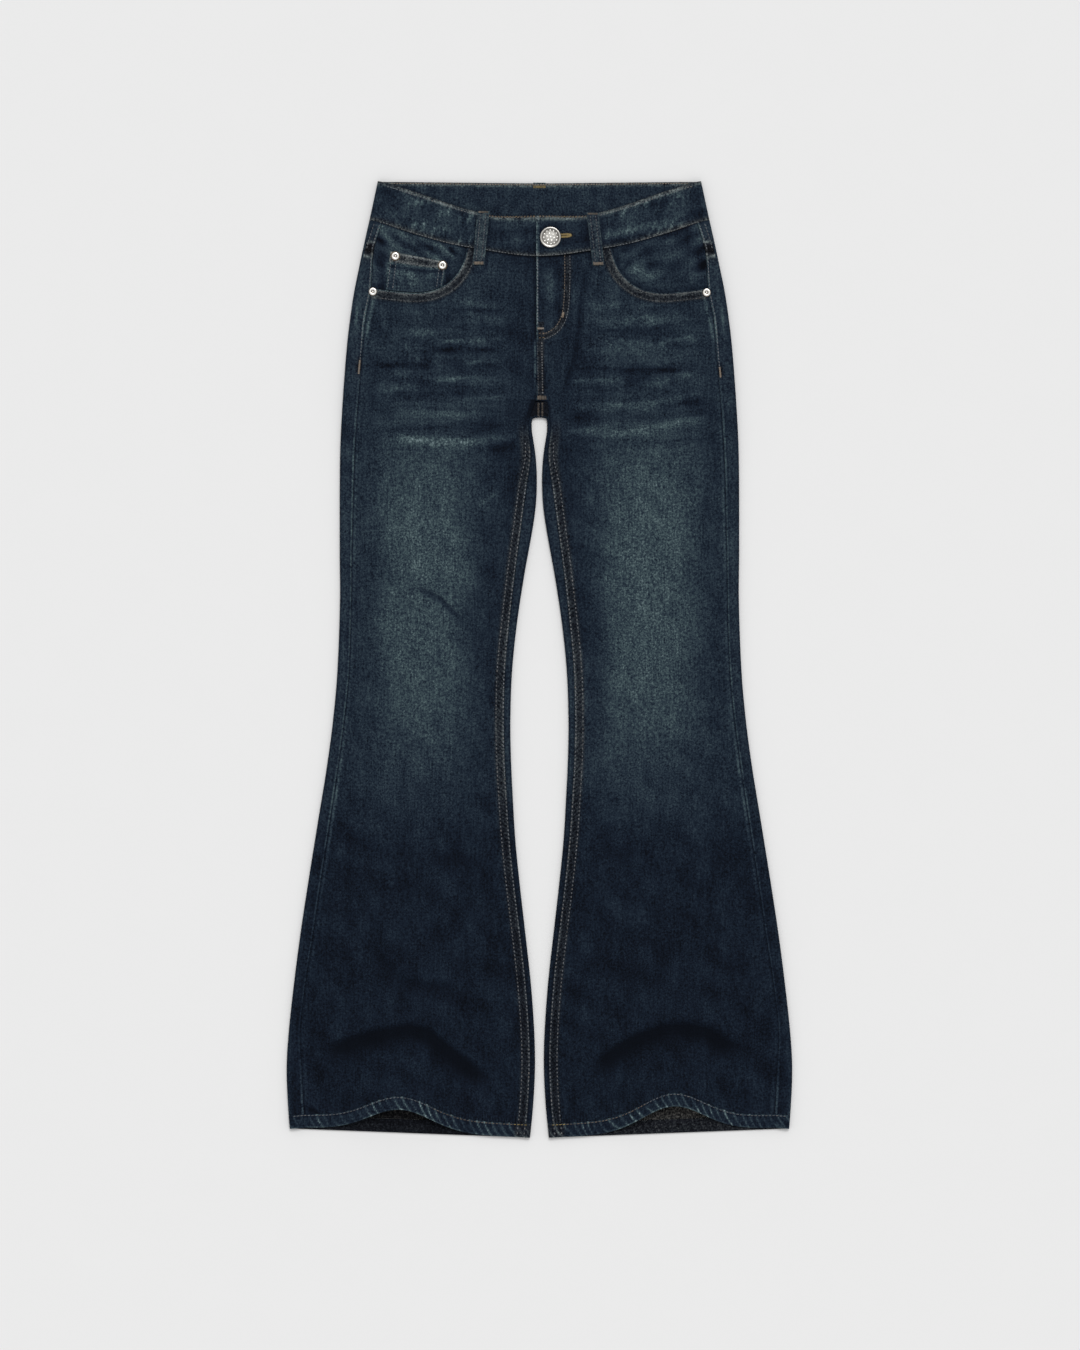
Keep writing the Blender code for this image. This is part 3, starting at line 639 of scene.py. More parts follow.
STREAKS = (
    Streak(10, 3, 5, ((-92, 136), (-38, 142))),
    Streak(10, 3, 6, ((-84, 151), (-37, 157))),
    Streak(10, 3, 4, ((-152, 171), (-114, 170))),
    Streak(14, 2, 3.5, ((-116, 182), (-76, 180), (-36, 176))),
    Streak(12, 2, 4, ((-88, 205), (-38, 201.5))),
    Streak(11, 3, 4, ((-171, 233), (-137, 228.5))),
    Streak(11, 2, 4, ((-123, 226), (-98, 223), (-73, 219))),
    Streak(8, 4, 7, ((-168, 212), (-142, 217))),
    Streak(7, 2, 3, ((-98, 249), (-60, 246), (-25, 241))),
    Streak(10, 4, 8, ((-166, 259), (-120, 263), (-72, 264))),
    Streak(16, 4, 6, ((-174, 288), (-126, 293.5), (-80, 294), (-52, 291), (-18, 284))),
    Streak(8, 2, 2, ((-170, 174), (-150, 188), (-129, 207))),
    Streak(5, 3, 3, ((-196, 128), (-178, 152), (-170, 174))),
    Streak(-7, 3, 3, ((-104, 145), (-36, 147))),
    Streak(-6, 4, 4, ((-124, 163), (-36, 166))),
    Streak(-8, 5, 3, ((-128, 192), (-38, 192))),
    Streak(-8, 5, 5, ((-196, 208), (-120, 213), (-38, 210))),
    Streak(-6, 5, 4, ((-178, 243), (-120, 241), (-58, 236))),
    Streak(-7, 6, 5, ((-190, 278), (-110, 280), (-24, 274))),
    Streak(-6, 6, 8, ((-60, 300), (-24, 298))),
    Streak(12, 6, 6, ((-217, 104), (-213, 150))),
    Streak(11, 2, 3, ((-70.5, 365.5), (-58, 359), (-47.5, 350))),
    Streak(6, 3, 3, ((-66, 585), (-60, 512))),
    Streak(9, 4, 5, ((55, 143), (96, 140))),
    Streak(6, 3, 5, ((106, 142), (150, 134))),
    Streak(11, 6, 8, ((45, 161), (108, 158), (172, 154))),
    Streak(10, 2.5, 6, ((55, 181), (90, 180.5), (133, 184), (171, 176), (186, 171))),
    Streak(6, 8, 10, ((62, 194), (102, 192), (180, 196))),
    Streak(11, 2.5, 4, ((31, 225), (70, 225), (104, 222))),
    Streak(12, 3, 6, ((112, 232), (146, 225), (181, 213))),
    Streak(13, 3, 6, ((29, 254), (82, 254.5), (128, 250.5), (186, 236))),
    Streak(11, 3, 4, ((25, 284), (84, 278))),
    Streak(15, 3, 6, ((68, 286), (120, 280), (191, 266))),
    Streak(-10, 5, 4, ((50, 169), (110, 169), (170, 165))),
    Streak(-10, 4, 4, ((32, 214.5), (96, 215), (162, 213))),
    Streak(-7, 5, 5, ((55, 238), (92, 239))),
    Streak(-8, 5, 5, ((92, 224), (128, 223))),
    Streak(-6, 6, 5, ((126, 255), (190, 250))),
    Streak(-7, 6, 5, ((25, 266), (80, 266), (135, 264))),
    Streak(-5, 5, 6, ((60, 299), (140, 297), (186, 286))),
    Streak(9, 6, 6, ((213, 105), (217, 150))),
    Streak(9, 2, 3, ((32, 321), (57, 344))),
    Streak(8, 2, 3, ((44, 321), (67, 341))),
    Streak(9, 2, 3, ((44, 382), (66, 397))),
    Streak(-20, 8, 8, ((-181, 60), (-177, 104))),
    Streak(-18, 5, 5, ((-101, 72), (-98, 98))),
    Streak(-12, 6, 6, ((-160, 74), (-116, 79))),
    Streak(13, 7, 8, ((-178, 103), (-138, 103))),
    Streak(12, 3, 4, ((-128, 106), (-108, 109))),
    Streak(-12, 6, 6, ((132, 64), (162, 61))),
    Streak(14, 5, 8, ((98, 97), (140, 105))),
    Streak(-15, 6, 6, ((179, 76), (184, 106))),
)


@dataclass(frozen=True)
class Fading:
    """How washed out the cloth is, as the brightness of its colour on a scale of 0 to 255."""

    darkest: float = 15.0
    span: float = 102.0
    # Brightness down the legs, away from the fades and close to the inseam
    ground: Curve = Curve(
        ((60, 46), (110, 45), (170, 42), (270, 41), (400, 45), (600, 42), (690, 37), (740, 30), (800, 28), (1080, 27))
    )
    inner: Curve = Curve(((60, 38), (150, 35), (250, 33), (500, 35), (650, 38), (740, 30), (800, 28), (1080, 27)))
    thigh: Curve = Curve(
        (
            (236, 0.0),
            (262, 0.25),
            (286, 0.58),
            (313, 0.74),
            (367, 0.9),
            (448, 1.0),
            (560, 0.98),
            (611, 0.76),
            (638, 0.56),
            (665, 0.38),
            (692, 0.28),
            (719, 0.2),
            (746, 0.09),
            (780, 0.0),
        )
    )
    # Each thigh's fade: its middle, half its width, and how much brighter it is
    thighs: tuple[tuple[float, ...], ...] = ((-134, 51, 20), (124, 53, 22))

    def wear(self, x: Array, drop: Array) -> Array:
        """How worn the upper layer is.

        Args:
            x: Signed x of each place.
            drop: Drop of each place.

        Returns:
            0 for unworn indigo, up to 1 for the palest.
        """
        out = np.abs(x)
        inner_x = np.where(drop > CROTCH_DROP, INNER_EDGE.read(drop), 0.0)
        from_inner = smooth_step(22, 75, out - inner_x)
        bright = mix(self.inner.read(drop), self.ground.read(drop), from_inner)
        wander = 9 * unevenness(x * 0.2, drop, 120, 11)
        for centre, half_width, gain in self.thighs:
            middle = centre + wander
            across = 1 - smooth_step(half_width - 22, half_width + 20, np.abs(x - middle))
            ridge = 0.88 + 0.12 * peak((x - middle) / 25)
            bright += gain * self.thigh.read(drop) * across * ridge
        wavy = drop + 1.2 * unevenness(x, drop, 26, 12)
        strength = 1.32 + 0.5 * unevenness(x, drop * 2, 24, 13)
        for streak in STREAKS:
            bright += streak.read(x, wavy) * strength
        bright += 2.2 * unevenness(x, drop, 38, 5) + 1.4 * unevenness(x * 1.6, drop * 0.5, 22, 6)
        to_side = SIDE_EDGE.read(drop) - out
        bright += 8 * peak(to_side / 5) * smooth_step(640, 800, drop)
        return np.clip((bright - self.darkest) / self.span, 0.02, 1)

    def lap(self, x: Array, drop: Array) -> Array:
        """How much each place is streaked by the creases of the lap, from 0 to 1."""
        out = np.abs(x)
        across = smooth_step(22, 60, out) * (1 - smooth_step(160, 205, out))
        return across * smooth_step(126, 165, drop) * (1 - smooth_step(292, 325, drop))

    def tone(self, brightness: float) -> float:
        """Wear for one brightness."""
        return (brightness - self.darkest) / self.span


FADING = Fading()


# Shader building


class Value:
    """A number, colour or vector that a shader works out. Operators on numbers add Math nodes."""

    def __init__(self, shader: "Shader", socket: bpy.types.NodeSocket) -> None:
        """Wraps an output socket."""
        self.shader, self.socket = shader, socket

    def _math(self, operation: str, *inputs: Any) -> "Value":
        """A Math node on the values given, in order."""
        settings = {"operation": operation}
        return self.shader.node("ShaderNodeMath", settings, dict(enumerate(inputs))).out(0)

    def __add__(self, other: Any) -> "Value":
        """self + other."""
        return self._math("ADD", self, other)

    def __sub__(self, other: Any) -> "Value":
        """self - other."""
        return self._math("SUBTRACT", self, other)

    def __rsub__(self, other: Any) -> "Value":
        """other - self."""
        return self._math("SUBTRACT", other, self)

    def __mul__(self, other: Any) -> "Value":
        """self * other."""
        return self._math("MULTIPLY", self, other)

    def __pow__(self, other: Any) -> "Value":
        """self to a power."""
        return self._math("POWER", self, other)

    __radd__, __rmul__ = __add__, __mul__

    def sine(self) -> "Value":
        """The sine of self, in radians."""
        return self._math("SINE", self)

    def clamped(self) -> "Value":
        """self kept between 0 and 1."""
        return self._math("MINIMUM", self._math("MAXIMUM", self, 0.0), 1.0)


class Made:
    """A node that has been made, whose outputs can be read."""

    def __init__(self, shader: "Shader", made: bpy.types.Node) -> None:
        """Wraps a node."""
        self.shader, self.made = shader, made

    def out(self, key: int | str) -> Value:
        """One of the node's outputs, by number or name."""
        return Value(self.shader, self.made.outputs[key])


class Shader:
    """A material's nodes, made one by one."""

    def __init__(self, name: str) -> None:
        """Starts a material with no nodes."""
        self.material = bpy.data.materials.new(name)
        self.material.use_nodes = True
        self.tree = self.material.node_tree
        self.tree.nodes.clear()

    def node(self, kind: str, settings: dict[str, Any] | None = None, inputs: dict | None = None) -> Made:
        """Makes a node.

        Args:
            kind: The node's type.
            settings: Its properties, set first. A ramp's stops go under "stops".
            inputs: Values or links for its sockets, by number or name.

        Returns:
            The node.
        """
        made = self.tree.nodes.new(kind)
        for key, value in (settings or {}).items():
            if key == "stops":
                self._set_stops(made.color_ramp, value)
            else:
                setattr(made, key, value)
        for key, value in (inputs or {}).items():
            if isinstance(value, Value):
                self.tree.links.new(value.socket, made.inputs[key])
            else:
                made.inputs[key].default_value = value
        return Made(self, made)

    def _set_stops(self, ramp: bpy.types.ColorRamp, stops: list[tuple[float, tuple]]) -> None:
        """Sets a ramp's stops, as (position, colour)."""
        while len(ramp.elements) < len(stops):
            ramp.elements.new(0.5)
        for element, (position, _) in zip(ramp.elements, stops):
            element.position = position
        for element, (_, colour) in zip(ramp.elements, stops):
            element.color = (*colour, 1)

    def attribute(self, name: str) -> Value:
        """A number that the mesh carries."""
        return self.node("ShaderNodeAttribute", {"attribute_name": name}).out("Fac")

    def place(self, per_mm: tuple[float, float, float], turn: float = 0.0) -> Value:
        """Object coordinates, scaled by how many cells there are in a millimetre each way, and turned about z."""
        where = self.node("ShaderNodeTexCoord").out("Object")
        inputs = {"Vector": where, "Rotation": (0, 0, turn), "Scale": tuple(1000 * n for n in per_mm)}
        return self.node("ShaderNodeMapping", inputs=inputs).out("Vector")

    def noise(self, per_mm: tuple[float, float, float], detail: float = 2.0, rough: float = 0.5) -> Value:
        """Noise about 0, from about -0.5 to 0.5."""
        inputs = {"Vector": self.place(per_mm), "Scale": 1.0, "Detail": detail, "Roughness": rough}
        return self.node("ShaderNodeTexNoise", inputs=inputs).out(0) - 0.5

    def ramp(self, at: Value, stops: list[tuple[float, tuple]]) -> Value:
        """A colour from a ramp."""
        return self.node("ShaderNodeValToRGB", {"stops": stops}, {"Fac": at}).out("Color")

    def bump(self, height: Value, distance_mm: float, strength: float = 1.0) -> Value:
        """A normal from heights, where 1 stands for distance_mm."""
        inputs = {"Height": height, "Distance": distance_mm * MM, "Strength": strength}
        return self.node("ShaderNodeBump", inputs=inputs).out("Normal")

    def finish(self, **inputs: Any) -> bpy.types.Material:
        """Ends in a Principled surface. Input names have underscores for spaces."""
        named = {key.replace("_", " "): value for key, value in inputs.items()}
        surface = self.node("ShaderNodeBsdfPrincipled", inputs=named).out(0)
        self.node("ShaderNodeOutputMaterial", inputs={"Surface": surface})
        return self.material


def srgb(red: int, green: int, blue: int) -> tuple[float, float, float]:
    """A display colour, 0 to 255, as the linear one that a shader takes."""
    return tuple(
        c / 12.92 if c <= 0.04045 else ((c + 0.055) / 1.055) ** 2.4 for c in (red / 255, green / 255, blue / 255)
    )


@dataclass(frozen=True)
class DenimFinish:
    """Indigo twill, from unworn to washed out, with its grain, slubs and seam puckers."""

    name: str = "denim_twill"
    grain: float = 1.7
    fine: float = 0.65
    slub: float = 0.6
    patch: float = 0.22
    streak: float = 0.47
    pucker: float = 0.2
    twill_pitch: float = 0.95
    stops: tuple[tuple[float, tuple[int, int, int]], ...] = (
        (0.0, (9, 12, 18)),
        (0.07, (15, 20, 29)),
        (0.15, (20, 28, 40)),
        (0.26, (30, 40, 51)),
        (0.38, (42, 53, 63)),
        (0.52, (54, 68, 74)),
        (0.68, (72, 88, 91)),
        (1.0, (118, 134, 138)),
    )
    drab_stops: tuple[tuple[float, tuple[int, int, int]], ...] = (
        (0.0, (8, 8, 9)),
        (0.15, (26, 25, 26)),
        (0.35, (50, 49, 47)),
        (1.0, (130, 126, 122)),
    )

    def material(self) -> bpy.types.Material:
        """Builds the finish's material."""
        s = Shader(self.name)
        wear, rim, shade = s.attribute("wear"), s.attribute("rim"), s.attribute("shade")
        pucker, along, across = s.attribute("pucker"), s.attribute("along"), s.attribute("across")
        lap, drab = s.attribute("lap"), s.attribute("drab")
        grain = s.noise((0.5, 0.46, 0.5), 2.0, 0.75)
        fine = s.noise((1.9, 1.1, 1.5), 1.0, 0.5)
        slub = s.noise((0.55, 0.035, 0.2), 3.0, 0.62)
        weft = s.noise((0.05, 0.7, 0.2), 2.0, 0.6)
        patch = s.noise((0.03, 0.022, 0.03), 3.0, 0.6)
        wander = s.noise((0.07, 0.07, 0.07), 2.0, 0.5)
        diagonal = s.node("ShaderNodeSeparateXYZ", inputs={0: s.place((1, 1, 1), math.radians(-27))}).out(0)
        twill = (diagonal * (math.tau / self.twill_pitch) + wander * 9.0).sine()
        ridge = (along * (math.tau / 5.2) + across * 0.75 + wander * 13.0).sine()
        streak = s.noise((0.013, 0.1, 0.05), 3.0, 0.62)
        depth = wear * 1.45 + 0.17
        tone = wear + patch * self.patch + wander * wear * 0.16 + streak * lap * self.streak
        tone = tone + (grain * self.grain + fine * self.fine + slub * self.slub) * depth
        tone = tone + (grain * 0.9 + fine * 0.4) * drab + weft * wear * 0.3 + twill * depth * 0.035 + ridge * pucker * self.pucker * depth
        edge = rim * (grain * 2.2 + wander * 2.4 + 0.8).clamped()
        # shade darkens the tone: painted shade in creases, under raised edges and beside loops and pockets, together
        # with darker seam bands.
        tone = (tone * (1 - shade) + edge * 0.8).clamped()
        blue = s.ramp(tone, [(at, srgb(*rgb)) for at, rgb in self.stops])
        olive = s.ramp(tone, [(at, srgb(*rgb)) for at, rgb in self.drab_stops])
        mixed = {"data_type": "RGBA", "blend_type": "MIX"}
        colour = s.node("ShaderNodeMix", mixed, {"Factor": drab.clamped(), 6: blue, 7: olive}).out(2)
        relief = twill * 0.22 + grain * 0.9 + fine * 0.5 + slub * 0.5 + ridge * pucker * 2.2
        return s.finish(
            Base_Color=colour,
            Roughness=(grain * 0.1 + 0.9).clamped(),
            Specular_IOR_Level=0.03,
            Normal=s.bump(relief, 0.25, 0.55),
        )


@dataclass(frozen=True)
class ThreadFinish:
    """Worn topstitching thread, coloured by each stitch's tint."""

    name: str = "sewing_thread"

    def material(self) -> bpy.types.Material:
        """Builds the finish's material."""
        s = Shader(self.name)
        tint, age = s.attribute("tint"), s.attribute("age")
        worn = s.noise((0.12, 0.12, 0.12), 3.0, 0.65)
        fibre = s.noise((3.5, 3.5, 3.5), 2.0, 0.6)
        stops = [
            (0.0, srgb(110, 115, 121)),
            (0.33, srgb(128, 117, 105)),
            (0.66, srgb(108, 88, 66)),
            (1.0, srgb(150, 132, 84)),
        ]
        colour = s.ramp((tint + worn * 0.35).clamped(), stops)
        dim = (age * 0.75 + worn * 0.9 + fibre * 0.5 + 0.52).clamped()
        dark = s.node(
            "ShaderNodeMix",
            {"data_type": "RGBA", "blend_type": "MIX"},
            {"Factor": dim, 6: (*srgb(44, 42, 42), 1), 7: colour},
        ).out(2)
        return s.finish(
            Base_Color=dark,
            Roughness=0.78,
            Specular_IOR_Level=0.2,
            Normal=s.bump(fibre, 0.12, 0.5),
        )


@dataclass(frozen=True)
class MetalFinish:
    """Silver metal, dull where it is low."""

    name: str
    colour: tuple[int, int, int]
    low_colour: tuple[int, int, int]
    low: float
    high: float
    roughness: float = 0.26

    def material(self) -> bpy.types.Material:
        """Builds the finish's material."""
        s = Shader(self.name)
        scratch = s.noise((1.3, 1.3, 1.3), 3.0, 0.7)
        height = s.node("ShaderNodeSeparateXYZ", inputs={0: s.place((1, 1, 1))}).out(2)
        raised = ((height - self.low) * (1 / (self.high - self.low)) + scratch * 0.7).clamped()
        colour = s.ramp(raised, [(0.0, srgb(*self.low_colour)), (1.0, srgb(*self.colour))])
        return s.finish(
            Base_Color=colour,
            Metallic=1.0,
            Roughness=(scratch * 0.3 + self.roughness).clamped(),
            Normal=s.bump(scratch, 0.08, 0.4),
        )


@dataclass(frozen=True)
class FloorFinish:
    """The pale surface underneath."""

    name: str = "pale_board"
    colour: tuple[int, int, int] = (229, 229, 229)

    def material(self) -> bpy.types.Material:
        """Builds the finish's material."""
        s = Shader(self.name)
        speck = s.noise((0.02, 0.02, 0.02), 2.0, 0.5)
        stops = [(0.0, srgb(*(c - 1 for c in self.colour))), (1.0, srgb(*self.colour))]
        return s.finish(Base_Color=s.ramp(speck + 0.5, stops), Roughness=0.9, Specular_IOR_Level=0.1)


@dataclass
class Wardrobe:
    """The finishes, each made once."""

    made: dict[str, bpy.types.Material] = field(default_factory=dict)

    def get(self, finish: Any) -> bpy.types.Material:
        """The material of a finish."""
        if finish.name not in self.made:
            self.made[finish.name] = finish.material()
        return self.made[finish.name]


WARDROBE = Wardrobe()
DENIM_FINISH = DenimFinish()
THREAD_FINISH = ThreadFinish()


# Pieces


def world(points: Array, half: Half = Half.RIGHT) -> Array:
    """(x, drop, z) in millimetres, x outwards on a half, as points of the scene."""
    return np.stack([half.value * points[:, 0], LENGTH / 2 - points[:, 1], points[:, 2]], axis=-1) * MM


def add_piece(name: str, shape: bmesh.types.BMesh, finish: Any) -> Object:
    """Puts a finished shape into the scene.

    Args:
        name: The piece's name.
        shape: Its mesh, which is freed.
        finish: What it is made of.

    Returns:
        The piece, riding on the frame.
    """
    mesh = bpy.data.meshes.new(name)
    shape.to_mesh(mesh)
    shape.free()
    mesh.shade_smooth()
    mesh.set_sharp_from_angle(angle=math.radians(50))
    mesh.materials.append(WARDROBE.get(finish))
    piece = bpy.data.objects.new(name, mesh)
    bpy.context.scene.collection.objects.link(piece)
    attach(piece, "root")
    log.info("%s: %d faces", name, len(mesh.polygons))
    return piece


KEYS = ("wear", "rim", "shade", "pucker", "along", "across", "lap", "drab")
Placer = Callable[[Array, Array, Array], tuple[Array, Facts]]


def bend_slab(
    name: str,
    columns: int,
    rows: int,
    place: Placer,
    left_out: Callable[[float, float], bool] | None = None,
    ring: bool = False,
) -> Object:
    """A closed slab of cloth, bent to shape.

    Args:
        name: The piece's name.
        columns: Faces across.
        rows: Faces up.
        place: Takes columns, rows and depths (0 outside, 1 inside), and gives the points of the scene and
            what the finish reads there.
        left_out: Says which faces the cut doesn't have, by their middle's column and row.
        ring: Whether the two ends are joined.

    Returns:
        The piece.
    """
    slab = bmesh.new()
    layers = {key: slab.verts.layers.float.new(key) for key in KEYS}
    bmesh.ops.create_grid(slab, x_segments=columns, y_segments=rows, size=1)
    if left_out:
        middles = [(face, face.calc_center_median()) for face in slab.faces]
        gone = [f for f, at in middles if left_out((at.x + 1) / 2 * columns, (at.y + 1) / 2 * rows)]
        bmesh.ops.delete(slab, geom=gone, context="FACES")
    bmesh.ops.solidify(slab, geom=slab.faces[:], thickness=1.0)
    if ring:
        ends = [f for f in slab.faces if abs(f.normal.x) > 0.9]
        bmesh.ops.delete(slab, geom=ends, context="FACES_ONLY")
    flat = np.array([vertex.co for vertex in slab.verts])
    column = np.rint((flat[:, 0] + 1) / 2 * columns).astype(int)
    row = np.rint((flat[:, 1] + 1) / 2 * rows).astype(int)
    points, facts = place(column, row, np.rint(-flat[:, 2]))
    for vertex, point in zip(slab.verts, points):
        vertex.co = point
    for key, values in facts.items():
        layer = layers[key]
        for vertex, value in zip(slab.verts, np.broadcast_to(values, len(flat))):
            vertex[layer] = value
    bmesh.ops.remove_doubles(slab, verts=slab.verts, dist=0.02 * MM)
    if slab.calc_volume(signed=True) < 0:
        bmesh.ops.reverse_faces(slab, faces=slab.faces[:])
    return add_piece(name, slab, DENIM_FINISH)


Surface = Callable[[Array, Array], Array]


@dataclass(frozen=True)
class StitchRow:
    """One row of stitches along places on a surface."""

    points: tuple[tuple[float, float], ...]
    thread: Thread = Thread.TAN
    pitch: float = 3.9
    length: float = 3.0
    radius: float = 0.42
    crosswise: bool = False
    age: float = 0.5
    closed: bool = False


@dataclass
class Needle:
    """Sews rows of stitches on one surface and joins them into one piece."""

    name: str
    surface: Surface
    layer: Layer = Layer.UPPER
    sunk: float = 0.06
    rows: list[StitchRow] = field(default_factory=list)

    def sew(self, points: Any, **settings: Any) -> "Needle":
        """Adds a row. The settings are StitchRow's."""
        self.rows.append(StitchRow(tuple(map(tuple, points)), **settings))
        return self

    def stitch_shape(self) -> bpy.types.Mesh:
        """One stitch, lying along x, with a radius of 1 each way."""
        shape = bmesh.new()
        bmesh.ops.create_uvsphere(shape, u_segments=6, v_segments=5, radius=1)
        for vertex in shape.verts:
            x, y, z = vertex.co
            vertex.co = (math.copysign(abs(z) ** 0.8, z), x, y)
        bmesh.ops.recalc_face_normals(shape, faces=shape.faces[:])
        mesh = bpy.data.meshes.new("one_stitch")
        shape.to_mesh(mesh)
        shape.free()
        return mesh

    def row_stitches(self, row: StitchRow) -> tuple[Array, Array, float]:
        """Where the stitches of a row start and end.

        Args:
            row: The row.

        Returns:
            The starts and the ends, as points of the scene in millimetres, and half their length.
        """
        points = np.array(row.points, float)
        gone = np.concatenate([[0], np.cumsum(np.hypot(*np.diff(points, axis=0).T))])
        fine = np.linspace(0, gone[-1], max(int(gone[-1] / 0.8), 4 * len(points), 12))
        x, drop = (np.interp(fine, gone, points[:, i]) for i in (0, 1))
        path = self.surface(x, drop) / MM
        path_gone = np.concatenate([[0], np.cumsum(np.linalg.norm(np.diff(path, axis=0), axis=1))])
        count = max(int(path_gone[-1] / row.pitch), 1)
        middles = (np.arange(count) + 0.5) * path_gone[-1] / count

        def at(gone_along: Array) -> Array:
            return np.stack([np.interp(gone_along, path_gone, path[:, i]) for i in range(3)], axis=-1)

        reach = row.pitch / 2 if row.crosswise else row.length / 2
        return at(middles - reach), at(middles + reach), row.length / 2

    def build(self) -> Object:
        """Makes the piece.

        Returns:
            The thread, all rows in one.
        """
        template = self.stitch_shape()
        unit = np.array([v.co for v in template.vertices])
        thread = bmesh.new()
        tint, age = thread.verts.layers.float.new("tint"), thread.verts.layers.float.new("age")
        draw = np.random.default_rng(sum(map(ord, self.name)))
        places_all, tints, ages = [], [], []
        up = np.array([0, 0, float(self.layer.value)])
        for row in self.rows:
            starts, ends, half_length = self.row_stitches(row)
            run = ends - starts
            run /= np.linalg.norm(run, axis=1)[:, None]
            side = np.cross(up, run)
            side /= np.linalg.norm(side, axis=1)[:, None]
            if row.crosswise:
                run, side = side, -run
            lean = draw.normal(0.07, 0.03, len(run))[:, None]
            run, side = run + side * lean, side - run * lean
            over = np.cross(run, side)
            sizes = draw.normal(1, 0.06, (len(run), 3))
            for i, middle in enumerate((starts + ends) / 2):
                a, b, c = (unit * sizes[i]).T
                bow = -0.25 * a**2
                point = middle + over[i] * (row.radius * 0.5 - self.sunk)
                point = point + np.outer(a * half_length, run[i]) + np.outer(b * row.radius, side[i])
                places_all.append((point + np.outer((c * 0.8 + bow) * row.radius, over[i])) * MM)
                tints.append(np.full(len(unit), row.thread.value + draw.normal(0, 0.06)))
                ages.append(np.full(len(unit), row.age + draw.normal(0, 0.14)))
                thread.from_mesh(template)
        for vertex, point, one_tint, one_age in zip(
            thread.verts, np.concatenate(places_all), np.concatenate(tints), np.concatenate(ages)
        ):
            vertex.co, vertex[tint], vertex[age] = point, one_tint, one_age
        bpy.data.meshes.remove(template)
        return add_piece(self.name, thread, THREAD_FINISH)


def softened(distance: Array, depth: Array, amount: float = 0.4, reach: float = 1.6) -> Array:
    """How much a cut edge's corner is rounded off, at a distance from it on the outside."""
    return amount * (1 - smooth_step(0, reach, distance)) * np.where(depth > 0.5, -0.6, 1)


